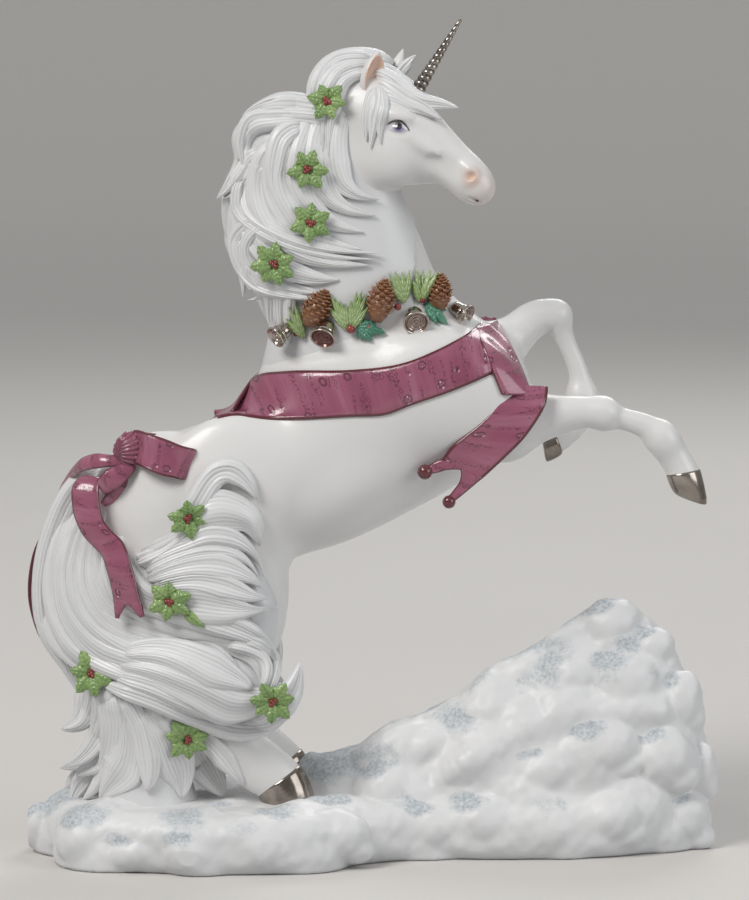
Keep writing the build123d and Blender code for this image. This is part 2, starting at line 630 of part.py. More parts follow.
with BuildPart() as bell:
    outer = [(r * bell_radius, z * bell_height) for r, z in bell_profile_shares]
    inner = [(r * (bell_radius - bell_wall), z * bell_height) for r, z in bell_profile_shares[1:]]
    with BuildSketch(Plane.XZ):
        with BuildLine():
            Polyline(*outer, *reversed(inner), (0, -bell_wall * 2), close=True)
        make_face()
    revolve(axis=Axis.Z)

with BuildPart() as cone:
    rim = [(0.0, 0.0)]
    for i in range(cone_rings):
        low, high = i / cone_rings, (i + 1) / cone_rings
        full = cone_radius * sin(pi * (0.12 + 0.80 * high) ** 0.8)
        rim.append((full, cone_length * (low + high) / 2))
        rim.append((full * cone_notch_share, cone_length * high))
    with BuildSketch(Plane.XZ):
        with BuildLine():
            Polyline(*rim, (0.0, cone_length), close=True)
        make_face()
    revolve(axis=Axis.Z)
tick("cone")


def cluster(plane, count):
    """Leaves fanned round a place, let into what they lie on."""
    with BuildPart() as made:
        with BuildSketch(plane.offset(-ornament_root)):
            with PolarLocations(leaf_width / 4, count):
                add(leaf.sketch)
        extrude(amount=ornament_root + ornament_thickness)
    return made.part


def sprig(plane):
    """Needles fanned out from one end, let into what they lie on."""
    with BuildPart() as made:
        with BuildSketch(plane.offset(-ornament_root)):
            for i in range(sprig_fingers):
                turn = sprig_fan_degrees * (i / (sprig_fingers - 1) - 0.5)
                with Locations(Location((0, 0, 0), (0, 0, turn)) * Location((sprig_finger_length / 2, 0, 0))):
                    Ellipse(sprig_finger_length / 2, sprig_finger_width / 2)
        extrude(amount=ornament_root + ornament_thickness)
    return made.part


collar_hosts = [torso.part, neck.part, sash["sash_band"].part, hair["mane_lower"].part, hair["neck_strands"].part]
mane_hosts = [neck.part, *[made.part for name, made in hair.items() if not name.startswith("tail")]]
tail_hosts = [made.part for name, made in hair.items() if name.startswith("tail")]
collar_bells, clappers = [], []
for px, py, mouth in bell_places:
    seat = surface_plane(px, py, collar_hosts)
    out = Vector(*mouth).normalized()
    collar_bells.append(bell.part.moved(Plane(seat.origin + out * bell_wall, z_dir=out * -1).location))
    clappers.append(Pos(seat.origin + out * (bell_height * 0.75)) * Sphere(clapper_radius))
cones = []
for px, py, turn in cone_places:
    seat = surface_plane(px, py, collar_hosts, turn, lean=0.7)
    stand = Plane(seat.origin - seat.y_dir * cone_length / 2 + seat.z_dir * cone_radius * 0.3, z_dir=seat.y_dir)
    cones.append(cone.part.moved(stand.location))
tick("bells and cones")
ornaments = {
    "collar_bells": collar_bells,
    "collar_pine_cones": cones,
    "collar_berries": [Pos(surface_plane(x, y, collar_hosts).origin) * Sphere(berry_radius) for x, y, _ in collar_berry_places],
    "collar_holly_leaves": [cluster(surface_plane(*place[:2], collar_hosts, place[2]), 3) for place in holly_places],
    "collar_pine_sprigs": [sprig(surface_plane(*place[:2], collar_hosts, place[2])) for place in sprig_places],
    "mane_leaf_clusters": [cluster(surface_plane(*place[:2], mane_hosts, place[2]), leaf_count) for place in mane_cluster_places],
    "tail_leaf_clusters": [cluster(surface_plane(*place[:2], tail_hosts, place[2]), leaf_count) for place in tail_cluster_places],
}
tick("ornaments placed")
ornament_hosts = {"collar": list(collar_hosts), "mane": [neck.part, head.part, *mane_hosts], "tail": [torso.part, *[leg.part for leg in legs.values()], *tail_hosts]}
trim = {}
for name, pieces in ornaments.items():
    hosts = ornament_hosts[name.split("_")[0]]
    with BuildPart() as laid:
        add(pieces)
    with BuildPart() as trim[name]:
        add(seated(laid.part, hosts))
    hosts.append(trim[name].part)
    trim[name].part.label = name
    export_step(trim[name].part, f"parts/{name}.step")
    print(name, [round(s.volume, 1) for s in trim[name].part.solids()], flush=True)
    tick(name)
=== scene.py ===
import math

import bpy
import numpy as np
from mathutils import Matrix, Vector
from mathutils.bvhtree import BVHTree


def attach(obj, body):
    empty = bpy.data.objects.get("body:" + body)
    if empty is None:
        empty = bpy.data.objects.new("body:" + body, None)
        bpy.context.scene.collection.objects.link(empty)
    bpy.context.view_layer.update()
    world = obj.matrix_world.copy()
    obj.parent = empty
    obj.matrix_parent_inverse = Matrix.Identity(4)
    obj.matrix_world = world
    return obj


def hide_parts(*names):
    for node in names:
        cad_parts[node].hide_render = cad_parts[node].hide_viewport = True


# Porcelain unicorn rearing on a snow drift. Places are pixels of the photo, and depth shares are
# parts of half the base's depth. Sizes are in millimetres until a mesh is made, in metres.
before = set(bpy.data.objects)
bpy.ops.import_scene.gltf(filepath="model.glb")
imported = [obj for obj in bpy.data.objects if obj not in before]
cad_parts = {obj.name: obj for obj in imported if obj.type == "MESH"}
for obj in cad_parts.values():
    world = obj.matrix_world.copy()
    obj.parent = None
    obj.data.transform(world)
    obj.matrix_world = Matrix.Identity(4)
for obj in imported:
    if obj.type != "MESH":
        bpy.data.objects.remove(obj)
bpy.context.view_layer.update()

PIXEL = 0.25  # mm a pixel, in the upright plane through the middle of the base
MIDDLE = (374.5, 450.0)  # the pixel that the camera aims at
DISTANCE = 1100.0
TILT = math.radians(6.0)
AIM = 101.0  # height of the point aimed at
HALF_DEPTH = 38.5
MM = 0.001
SIDE = np.array([0.0, 1.0, 0.0])
UP = np.array([0.0, 0.0, 1.0])
EYE = np.array([0.0, -DISTANCE * math.cos(TILT), AIM + DISTANCE * math.sin(TILT)])


def place(px, py, y=0.0):
    """The point at a depth, in mm, that is seen at a pixel of the photo."""
    px, py, y = np.broadcast_arrays(*[np.asarray(a, float) for a in (px, py, y)])
    across, above = (px - MIDDLE[0]) * PIXEL, (MIDDLE[1] - py) * PIXEL
    level = DISTANCE * math.cos(TILT)
    t = (y + level) / (above * math.sin(TILT) + level)
    z = EYE[2] + t * (above * math.cos(TILT) - DISTANCE * math.sin(TILT))
    return np.stack([t * across, y, z], -1)


def flow(rows, count, by=2):
    """Rows of numbers taken evenly along a smooth curve through the given ones."""
    rows = np.asarray(rows, float)
    step = np.sqrt(np.linalg.norm(np.diff(rows[:, :by], axis=0), axis=1)) + 1e-6
    t = np.concatenate([[0.0], np.cumsum(step)])
    if len(rows) < 3:
        m = np.repeat((rows[1:] - rows[:1]) / t[-1], 2, axis=0)
    else:
        m = np.gradient(rows, t, axis=0, edge_order=2)
    fine = np.linspace(0, t[-1], count * 4)
    i = np.clip(np.searchsorted(t, fine, "right") - 1, 0, len(t) - 2)
    h = (t[i + 1] - t[i])[:, None]
    u = ((fine - t[i]) / h[:, 0])[:, None]
    out = ((2 * u**3 - 3 * u**2 + 1) * rows[i] + (u**3 - 2 * u**2 + u) * h * m[i]
           + (3 * u**2 - 2 * u**3) * rows[i + 1] + (u**3 - u**2) * h * m[i + 1])
    run = np.concatenate([[0.0], np.cumsum(np.linalg.norm(np.diff(out[:, :by], axis=0), axis=1))])
    even = np.linspace(0, run[-1], count)
    return np.stack([np.interp(even, run, out[:, k]) for k in range(out.shape[1])], -1)


def unit(v):
    v = np.asarray(v, float)
    return v / np.maximum(np.linalg.norm(v, axis=-1, keepdims=True), 1e-9)


# Solid modelling on a grid of distances
def smooth_min(a, b, k):
    h = np.clip(0.5 + 0.5 * (b - a) / k, 0, 1)
    return b + (a - b) * h - k * h * (1 - h)


class Clay:
    """A block of distances to a surface, in mm, which shapes are added to or cut from."""

    def __init__(self, low, high, step):
        self.low, self.step = np.array(low, float), step
        self.shape = tuple(int(math.ceil((h - l) / step)) + 1 for l, h in zip(low, high))
        self.far = 30.0
        self.d = np.full(self.shape, self.far, np.float32)

    def grid(self):
        """The three lines of coordinates of the block's samples."""
        return [self.low[i] + self.step * np.arange(self.shape[i]) for i in range(3)]

    def window(self, low, high):
        """The part of the block between two corners, and its coordinates."""
        a = np.maximum(np.floor((np.asarray(low) - self.low) / self.step).astype(int), 0)
        b = np.minimum(np.ceil((np.asarray(high) - self.low) / self.step).astype(int) + 1, self.shape)
        if (b - a).min() < 1:
            return None, (None, None, None)
        x, y, z = [(self.low[i] + self.step * np.arange(a[i], b[i])).astype(np.float32) for i in range(3)]
        part = tuple(slice(i, j) for i, j in zip(a, b))
        return part, (x[:, None, None], y[None, :, None], z[None, None, :])

    def join(self, cut, part, k, carve=False):
        """Add a part to the block, or cut it from it, with a blend of size k."""
        if carve:
            self.d[cut] = -smooth_min(-self.d[cut], part, k)
        else:
            self.d[cut] = smooth_min(self.d[cut], part, k)

    def chain(self, points, ups, sides, half_up, half_side, k=0.0, reach=9.0, carve=False):
        """A swept oval. Each row of the arrays is one section."""
        big = float(max(half_up.max(), half_side.max())) + reach
        cut, _ = self.window(points.min(0) - big, points.max(0) + big)
        if cut is None:
            return
        part = np.full(tuple(s.stop - s.start for s in cut), self.far, np.float32)
        origin = [s.start for s in cut]
        along = unit(np.gradient(points, axis=0))
        normals = unit(np.cross(ups, sides))
        normals *= np.sign((normals * along).sum(1))[:, None]
        for i in range(len(points) - 1):
            r = max(half_up[i], half_up[i + 1], half_side[i], half_side[i + 1]) + reach
            pair = points[i:i + 2]
            sub, (x, y, z) = self.window(pair.min(0) - r, pair.max(0) + r)
            if sub is None:
                continue
            p0, p1, n0, n1 = points[i], points[i + 1], normals[i], normals[i + 1]
            s0 = x * n0[0] + y * n0[1] + z * n0[2] - float(p0 @ n0)
            s1 = x * n1[0] + y * n1[1] + z * n1[2] - float(p1 @ n1)
            gap = s0 - s1
            t = np.clip(np.where(gap > 0.05, s0 / np.maximum(gap, 0.05), 0.5), 0, 1)
            up, side = unit(ups[i] + ups[i + 1]), unit(sides[i] + sides[i + 1])
            n = unit(np.cross(up, side))
            step = p1 - p0
            u = x * up[0] + y * up[1] + z * up[2] - (float(p0 @ up) + t * float(step @ up))
            v = x * side[0] + y * side[1] + z * side[2] - (float(p0 @ side) + t * float(step @ side))
            w = x * n[0] + y * n[1] + z * n[2] - (float(p0 @ n) + t * float(step @ n))
            a = half_up[i] + t * (half_up[i + 1] - half_up[i])
            b = half_side[i] + t * (half_side[i + 1] - half_side[i])
            c = np.minimum(a, b) * 0.8
            k0 = np.sqrt((u / a) ** 2 + (v / b) ** 2 + (w / c) ** 2) + 1e-6
            k1 = np.sqrt((u / a**2) ** 2 + (v / b**2) ** 2 + (w / c**2) ** 2) + 1e-6
            d = k0 * (k0 - 1) / k1
            inner = tuple(slice(s.start - o, s.stop - o) for s, o in zip(sub, origin))
            part[inner] = np.minimum(part[inner], d)
        self.join(cut, part, max(k, 0.01), carve)

    def blob(self, centre, radii, k=3.0, turn=0.0, carve=False, axes=None):
        """An ellipsoid, turned in the side view by degrees."""
        radii, centre = np.asarray(radii, float), np.asarray(centre, float)
        r = radii.max() + k + 2
        cut, (x, y, z) = self.window(centre - r, centre + r)
        if cut is None:
            return
        c, s = math.cos(math.radians(turn)), math.sin(math.radians(turn))
        axes = ((c, 0, s), (0, 1, 0), (-s, 0, c)) if axes is None else axes
        q = [((x - centre[0]) * e[0] + (y - centre[1]) * e[1] + (z - centre[2]) * e[2]) for e in axes]
        k0 = np.sqrt(sum((a / b) ** 2 for a, b in zip(q, radii))) + 1e-6
        k1 = np.sqrt(sum((a / b**2) ** 2 for a, b in zip(q, radii))) + 1e-6
        self.join(cut, (k0 * (k0 - 1) / k1).astype(np.float32), k, carve)

    def skin(self):
        """Vertices and quads of the surface, by surface nets."""
        d = self.d
        s = d < 0
        corner = [(i, j, k) for i in (0, 1) for j in (0, 1) for k in (0, 1)]
        n = np.array(d.shape) - 1
        total = sum(s[i:i + n[0], j:j + n[1], k:k + n[2]].astype(np.uint8) for i, j, k in corner)
        cells = np.argwhere((total > 0) & (total < 8))
        index = np.full(tuple(n), -1, np.int32)
        index[tuple(cells.T)] = np.arange(len(cells))
        value = {c: d[tuple((cells + c).T)] for c in corner}
        at, hits = np.zeros((len(cells), 3)), np.zeros(len(cells))
        for a in corner:
            for axis in range(3):
                if a[axis] == 1:
                    continue
                va, vb = value[a], value[a[:axis] + (1,) + a[axis + 1:]]
                cross = (va < 0) != (vb < 0)
                t = va[cross] / (va[cross] - vb[cross])
                p = np.tile(np.array(a, float), (cross.sum(), 1))
                p[:, axis] += t
                at[cross] += p
                hits[cross] += 1
        verts = (cells + at / hits[:, None]) * self.step + self.low
        quads = []
        for axis in range(3):
            o1, o2 = (axis + 1) % 3, (axis + 2) % 3
            lo, hi = [slice(1, -1)] * 3, [slice(1, -1)] * 3
            lo[axis], hi[axis] = slice(0, -1), slice(1, None)
            e = np.argwhere(s[tuple(lo)] != s[tuple(hi)])
            e[:, [o1, o2]] += 1
            inside = s[tuple(e.T)]
            ring = []
            for d1, d2 in ((0, 0), (-1, 0), (-1, -1), (0, -1)):
                c = e.copy()
                c[:, o1] += d1
                c[:, o2] += d2
                ring.append(index[tuple(c.T)])
            ring = np.stack(ring, 1)
            ring[~inside] = ring[~inside][:, ::-1]
            quads.append(ring)
        quads = np.concatenate(quads)
        return verts, quads[(quads >= 0).all(1)]


# Meshes
def listed(faces):
    return faces.tolist() if isinstance(faces, np.ndarray) else faces


def make(name, verts, faces, material, nodes=(), tone=None, uv=None):
    """A smooth-shaded piece from vertices in mm, riding on the figurine."""
    mesh = bpy.data.meshes.new(name)
    mesh.from_pydata((np.asarray(verts) * MM).tolist(), [], listed(faces))
    mesh.update()
    mesh.validate()
    if tone is not None:
        layer = mesh.attributes.new("tone", "FLOAT", "POINT")
        layer.data.foreach_set("value", np.asarray(tone, np.float32))
    if uv is not None:
        layer = mesh.uv_layers.new(name="UVMap")
        corner = np.zeros(len(mesh.loops), np.int32)
        mesh.loops.foreach_get("vertex_index", corner)
        layer.data.foreach_set("uv", np.asarray(uv, np.float32)[corner].ravel())
    mesh.polygons.foreach_set("use_smooth", np.ones(len(mesh.polygons), bool))
    mesh.materials.append(material)
    piece = bpy.data.objects.new(name, mesh)
    bpy.context.scene.collection.objects.link(piece)
    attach(piece, "root")
    if nodes:
        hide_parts(*nodes)


def outward(verts, faces):
    """The faces of a mesh, turned round where they look into it."""
    faces = listed(faces)
    fans = np.array([(f[0], f[i], f[i + 1]) for f in faces for i in range(1, len(f) - 1)])
    a, b, c = [(verts - verts.mean(0))[fans[:, k]] for k in range(3)]
    return [f[::-1] for f in faces] if (a * np.cross(b, c)).sum() < 0 else faces


class Heap:
    """Several meshes gathered into one piece."""

    def __init__(self):
        self.verts, self.faces, self.tones, self.uvs, self.count = [], [], [], [], 0

    def add(self, verts, faces, tone=None, uv=None):
        verts = np.asarray(verts)
        self.verts.append(verts)
        self.faces += [[i + self.count for i in f] for f in outward(verts, faces)]
        self.tones.append(np.zeros(len(verts)) if tone is None else np.asarray(tone))
        self.uvs.append(np.zeros((len(verts), 2)) if uv is None else np.asarray(uv))
        self.count += len(verts)

    def make(self, name, material, slot, nodes=()):
        make(name, np.concatenate(self.verts), self.faces, material, nodes,
             np.concatenate(self.tones), np.concatenate(self.uvs))


def circle(count):
    """Angles evenly round a circle."""
    return np.linspace(0, 2 * math.pi, count, endpoint=False)


def tube_faces(rings, around):
    """Quads of a tube of rings, with each of its two ends closed by one face."""
    i, j = np.meshgrid(np.arange(rings - 1), np.arange(around), indexing="ij")
    a, b = i * around + j, i * around + (j + 1) % around
    quads = np.stack([a, b, b + around, a + around], -1).reshape(-1, 4).tolist()
    return quads + [list(range(around))[::-1], [(rings - 1) * around + k for k in range(around)]]


def slab_faces(rows, cols):
    """Quads of a closed slab, from the points of its front as a grid, then those of its back."""
    n = rows * cols
    i, j = np.meshgrid(np.arange(rows - 1), np.arange(cols - 1), indexing="ij")
    a = (i * cols + j).ravel()
    front = np.stack([a, a + cols, a + cols + 1, a + 1], -1)
    rim = [r * cols for r in range(rows)] + [(rows - 1) * cols + c for c in range(1, cols)]
    rim += [r * cols + cols - 1 for r in range(rows - 2, -1, -1)] + list(range(cols - 2, 0, -1))
    wall = np.array([[p + n, q + n, q, p] for p, q in zip(rim, rim[1:] + rim[:1])])
    return np.concatenate([front, front[:, ::-1] + n, wall])


def tree(verts, faces):
    return BVHTree.FromPolygons(np.asarray(verts).tolist(), listed(faces))


def side_turn(side):
    """What a point is multiplied by to lie on the near side, -1, or to be mirrored to the far one."""
    return np.array([1.0, 1.0 if side < 0 else -1.0, 1.0])


def cast(trees, points, side=-1):
    """The nearest hit on the trees along the sight lines through points, with its normal."""
    eye = EYE * side_turn(side)
    hits, normals = np.full((2, *points.shape), np.nan)
    for n, p in enumerate(points):
        way = Vector(unit(p - eye))
        best = 1e9
        for t in trees:
            at, normal, _, far = t.ray_cast(Vector(eye), way)
            if at is not None and far < best:
                best = far
                hits[n], normals[n] = at, normal
    return hits, normals


# Materials
class Shade:
    """A Principled material with a small tree of nodes."""

    def __init__(self, name):
        self.material = bpy.data.materials.new(name)
        self.material.use_nodes = True
        self.tree = self.material.node_tree
        self.shader = self.tree.nodes["Principled BSDF"]

    def feed(self, socket, value):
        """Link an output to a socket, or set the socket to a constant."""
        if isinstance(value, bpy.types.NodeSocket):
            self.tree.links.new(value, socket)
        else:
            socket.default_value = value

    def node(self, kind, links=None, **settings):
        made = self.tree.nodes.new("ShaderNode" + kind)
        for key, value in settings.items():
            setattr(made, key, value)
        for key, value in (links or {}).items():
            self.feed(made.inputs[key], value)
        return made

    def set(self, **values):
        for key, value in values.items():
            self.feed(self.shader.inputs[key.replace("_", " ")], value)

    def noise(self, scale, detail=3.0, rough=0.5, where=None):
        where = where or self.node("TexCoord").outputs["Object"]
        settings = {"Vector": where, "Scale": scale, "Detail": detail, "Roughness": rough}
        return self.node("TexNoise", settings).outputs["Fac"]

    def ramp(self, fac, *stops):
        """Colours between stops of (position, colour)."""
        made = self.node("ValToRGB", {"Fac": fac})
        ramp = made.color_ramp
        while len(ramp.elements) < len(stops):
            ramp.elements.new(0.5)
        for element, (position, colour) in zip(ramp.elements, stops):
            element.position = position
            element.color = (*colour, 1)
        return made.outputs["Color"]

    def mix(self, fac, a, b):
        """From one colour to another. Sockets 6, 7 and 2 are the node's colours A, B and result."""
        made = self.node("Mix", {"Factor": fac}, data_type="RGBA")
        for slot, value in ((6, a), (7, b)):
            self.feed(made.inputs[slot], (*value, 1) if isinstance(value, tuple) else value)
        return made.outputs[2]

    def math(self, kind, a, b=0.0, clamp=False):
        return self.node("Math", {0: a, 1: b}, operation=kind, use_clamp=clamp).outputs[0]

    def spread(self, value, share, least):
        """A value's share added to a least value."""
        return self.math("ADD", self.math("MULTIPLY", value, share), least)

    def tone(self):
        return self.node("Attribute", attribute_name="tone").outputs["Fac"]

    def bump(self, height, strength, distance):
        made = self.node("Bump", {"Height": height, "Strength": strength, "Distance": distance})
        self.set(Normal=made.outputs["Normal"])


def porcelain(name, high, low, least_rough, coat=0.2, tint_and_shade=None, blush=None):
    """Glazed white. A tint, or a blush between two colours, lies where the tone is high: the tint is pink
    paint on the face and painted shade on the hair.
    """
    s = Shade(name)
    colour = s.ramp(s.noise(35.0, 4.0), (0.3, low), (0.7, high))
    if blush:
        tint_and_shade = s.ramp(s.noise(160.0, 3.0), (0.3, blush[0]), (0.7, blush[1]))
    if tint_and_shade:
        colour = s.mix(s.tone(), colour, tint_and_shade)
    s.set(Base_Color=colour, Roughness=least_rough if blush else s.spread(s.noise(90.0), 0.12, least_rough))
    s.set(Coat_Weight=coat, Coat_Roughness=0.12, IOR=1.5)
    s.bump(s.noise(420.0, 2.0), 0.12, 0.0002)
    return s.material


WHITE, WARM_WHITE = (0.825, 0.812, 0.795), (0.765, 0.75, 0.735)
body_white = porcelain("porcelain", WHITE, (0.795, 0.782, 0.768), 0.3)
# The hair's grey-blue where the tone is high is painted shade in its grooves, along the locks' rims and on
# the form under the locks, partly the glaze's own tint in the grooves
hair_white = porcelain("hair", (0.825, 0.82, 0.81), (0.79, 0.788, 0.785), 0.32, 0.12, (0.50, 0.51, 0.545))
face_white = porcelain("face", WHITE, WARM_WHITE, 0.3, tint_and_shade=(0.72, 0.47, 0.36))
ear_white = porcelain("ear", WHITE, WARM_WHITE, 0.34, blush=((0.70, 0.47, 0.36), (0.76, 0.55, 0.44)))


def snow_material():
    """White with sandy grey frost where the tone is high."""
    s = Shade("snow")
    grain, edge = s.noise(1100.0, 5.0, 0.7), s.noise(160.0, 4.0, 0.6)
    past = s.math("SUBTRACT", s.math("ADD", s.tone(), s.math("MULTIPLY", edge, 0.9)), 0.88)
    mask = s.math("MULTIPLY", past, 4.0, True)
    tint = s.ramp(grain, (0.36, (0.42, 0.46, 0.49)), (0.60, (0.70, 0.73, 0.745)))
    colour = s.mix(mask, s.ramp(s.noise(30.0), (0.3, (0.79, 0.79, 0.79)), (0.7, (0.835, 0.83, 0.825))), tint)
    s.set(Base_Color=colour, Roughness=s.spread(mask, 0.25, 0.46), Coat_Weight=0.05, Coat_Roughness=0.15,
          IOR=1.5)
    s.bump(s.spread(s.noise(240.0, 3.0), 0.25, s.math("MULTIPLY", grain, mask)), 0.5, 0.0006)
    return s.material


def lustre(name, scale, low, high, dark, share, rough, pits, loss=None):
    """Metal smeared between two colours and dark where the tone is high, where it may lose its metal."""
    s = Shade(name)
    smear = s.noise(scale, 5.0, 0.6)
    metallic = 1.0 if loss is None else s.math("SUBTRACT", 1.0, s.math("MULTIPLY", s.tone(), loss))
    s.set(Base_Color=s.mix(s.math("MULTIPLY", s.tone(), share), s.ramp(smear, (0.3, low), (0.7, high)), dark),
          Metallic=metallic, Roughness=s.spread(smear, *rough))
    s.bump(s.noise(pits[0]), pits[1], 0.0002)
    return s.material


# Platinum darkens where the tone is high: painted shade in the horn's grooves
platinum = lustre("platinum", 120.0, (0.20, 0.17, 0.145), (0.44, 0.40, 0.36), (0.05, 0.042, 0.036), 0.85,
                  (0.16, 0.08), (500.0, 0.15))
# Bell metal turns a deep red, with less metal, where the tone is high: inside the bells' mouths
bell_metal = lustre("bell", 260.0, (0.40, 0.35, 0.31), (0.62, 0.57, 0.52), (0.16, 0.03, 0.03), 0.8,
                    (0.14, 0.07), (700.0, 0.12), 0.5)

# Camera, light and surroundings
PHOTO_HEIGHT = 900
scene = bpy.context.scene
scene.view_settings.view_transform = "Standard"
lens = bpy.data.cameras.new("camera")
lens.sensor_width = 36.0
lens.lens = lens.sensor_width * DISTANCE / (PHOTO_HEIGHT * PIXEL)
lens.clip_start, lens.clip_end = 0.01, 20.0
camera = bpy.data.objects.new("camera", lens)
scene.collection.objects.link(camera)
camera.location = EYE * MM
camera.rotation_euler = (math.pi / 2 - TILT, 0, 0)
scene.camera = camera

world = bpy.data.worlds.new("world")
world.use_nodes = True
scene.world = world
sky, strength = world.node_tree.nodes["Background"].inputs[:2]
sky.default_value, strength.default_value = (0.95, 0.97, 1.0, 1), 0.48
for name, where, size, power, colour in (
    ("key", (-0.75, -0.75, 1.05), 0.55, 11.0, (1.0, 0.985, 0.96)),
    ("fill", (1.1, -0.7, 0.55), 0.8, 5.0, (0.96, 0.98, 1.0)), ("back", (0.3, 1.0, 0.9), 0.6, 4.0, (1, 1, 1)),
):
    lamp = bpy.data.lights.new(name, "AREA")
    lamp.shape, lamp.size, lamp.energy, lamp.color = "SQUARE", size, power, colour
    stand = bpy.data.objects.new(name, lamp)
    scene.collection.objects.link(stand)
    stand.location = where
    stand.rotation_mode = "QUATERNION"
    stand.rotation_quaternion = (Vector((0, 0, 0.1)) - Vector(where)).to_track_quat("-Z", "Y")


def backdrop():
    """A floor that curves up into a wall, far enough behind for every view. To the camera and in reflections
    it darkens and glows more with distance from the middle, a painted falloff of light and a painted glow;
    other rays see plain grey.
    """
    s = Shade("backdrop")
    path = s.node("LightPath")
    seen = s.math("MAXIMUM", path.outputs["Is Camera Ray"], path.outputs["Is Glossy Ray"])
    grain = s.noise(3.0, 2.0)
    reach = s.node("VectorMath", {0: s.node("TexCoord").outputs["Object"]}, operation="LENGTH")
    floor = s.ramp(grain, (0.3, (0.69, 0.665, 0.635)), (0.7, (0.72, 0.695, 0.665)))
    # Painted falloff of light: darker with distance from the middle
    fade = s.math("DIVIDE", s.math("SUBTRACT", reach.outputs["Value"], 0.4), 2.4, True)
    tone = s.mix(fade, floor, (0.44, 0.425, 0.40))
    s.set(Base_Color=s.mix(seen, (0.5, 0.5, 0.5), tone), Roughness=0.9, Specular_IOR_Level=0.1)
    # Painted light: a glow that grows with distance
    glow = s.math("MULTIPLY", seen, s.math("MULTIPLY", fade, 0.17))
    s.set(Emission_Color=(0.97, 0.95, 0.92, 1), Emission_Strength=glow)
    size, corner, around = 3.0, 0.6, 64
    under = 0.00005  # keeps the floor clear of the base's foot
    profile = [(0.3, 0.0), (0.8, 0.0), (1.6, 0.0), (size - corner, 0.0)]
    profile += [(size - corner + corner * math.sin(a), corner - corner * math.cos(a))
                for a in np.linspace(0.15, math.pi / 2, 10)]
    profile.append((size, 2.5))
    verts = [(r * math.cos(a), r * math.sin(a), z - under) for r, z in profile for a in circle(around)]
    faces = [f[::-1] for f in tube_faces(len(profile), around)[:-1]]
    mesh = bpy.data.meshes.new("backdrop")
    mesh.from_pydata(verts, [], faces)
    mesh.polygons.foreach_set("use_smooth", np.ones(len(mesh.polygons), bool))
    mesh.materials.append(s.material)
    made = bpy.data.objects.new("backdrop", mesh)
    scene.collection.objects.link(made)


backdrop()

# Body
def swept(clay, high, low, share, k, grow=0.0, reach=9.0):
    """A limb between the points of its upper and its lower edge, with its depth as a share of its height."""
    half = np.linalg.norm(high - low, axis=1) / 2 + grow
    clay.chain((high + low) / 2, unit(high - low), np.tile(SIDE, (len(high), 1)), half, half * share, k,
               reach)


def edges(stations, count):
    """The upper edge, the lower edge and the last column, from rows of (upper px, lower px, y, share)."""
    rows = flow(stations, count, by=4)
    return place(rows[:, 0], rows[:, 1], rows[:, 4]), place(rows[:, 2], rows[:, 3], rows[:, 4]), rows[:, 5]


def in_mm(stations):
    """Stations with their depth share turned into mm."""
    return np.array(stations, float) * [1, 1, 1, 1, HALF_DEPTH, 1]


def oval_chain(clay, stations, k, grow=0.0):
    """A limb from stations of (upper px, lower px, depth share, round share)."""
    swept(clay, *edges(in_mm(stations), 5 * len(stations)), k, grow)


torso_stations = (
    (88, 512, 112, 556, 0, 0.92), (98, 478, 165, 600, 0, 0.86), (140, 447, 226, 590, 0, 0.93),
    (195, 427, 288, 558, 0, 0.99), (250, 398, 340, 532, 0, 0.95), (305, 360, 404, 512, 0, 0.85),
    (360, 330, 454, 486, 0, 0.83), (420, 318, 494, 452, 0, 0.86), (470, 330, 512, 412, 0, 0.86),
    (492, 346, 518, 394, 0, 0.84),
)
neck_stations = (
    (272, 446, 470, 418, 0, 0.47), (262, 392, 476, 352, 0, 0.58), (270, 345, 460, 316, 0, 0.61),
    (280, 295, 436, 277, -0.01, 0.65), (288, 245, 420, 240, -0.02, 0.67), (300, 190, 402, 204, -0.03, 0.73),
    (320, 138, 390, 176, -0.04, 0.87), (344, 104, 384, 146, -0.06, 0.97),
)
right_foreleg_stations = (
    (486, 372, 486, 456, -0.22, 0.55), (520, 384, 510, 456, -0.28, 0.75), (548, 394, 542, 441, -0.31, 0.88),
    (574, 396, 572, 431, -0.32, 0.90), (594, 397, 594, 427, -0.32, 0.95), (606, 399, 606, 430, -0.32, 0.96),
    (622, 407, 617, 429, -0.31, 0.95), (645, 413, 640, 437, -0.31, 0.85), (658, 418, 648, 446, -0.30, 0.85),
    (668, 422, 655, 454, -0.30, 0.84), (682, 440, 662, 466, -0.29, 0.84), (700, 470, 667, 476, -0.28, 0.94),
)
left_foreleg_stations = (
    (468, 326, 486, 402, 0.20, 0.62), (506, 316, 518, 362, 0.28, 0.80), (524, 304, 535, 341, 0.31, 0.86),
    (540, 299, 547, 332, 0.33, 0.92), (555, 302, 556, 330, 0.33, 0.94), (566, 315, 554, 336, 0.33, 0.95),
    (576, 341, 561, 352, 0.33, 0.92), (586, 364, 569, 374, 0.33, 0.9), (594, 386, 568, 391, 0.33, 0.84),
    (598, 402, 565, 404, 0.33, 0.8), (590, 424, 566, 414, 0.33, 0.84), (576, 441, 559, 426, 0.33, 0.88),
    (561, 452, 553, 430, 0.33, 0.95),
)
hind_leg_stations = (
    (172, 506, 246, 518, -0.16, 0.40), (122, 524, 284, 548, -0.26, 0.42), (118, 570, 287, 588, -0.30, 0.46),
    (132, 618, 284, 630, -0.30, 0.46), (148, 658, 266, 664, -0.30, 0.48), (164, 694, 240, 694, -0.30, 0.56),
    (188, 726, 240, 716, -0.30, 0.68), (212, 752, 258, 732, -0.30, 0.72), (230, 776, 280, 748, -0.30, 0.68),
    (254, 792, 298, 764, -0.30, 0.80),
)
trunk = Clay((-84, -28, 8), (90, 28, 160), 0.62)
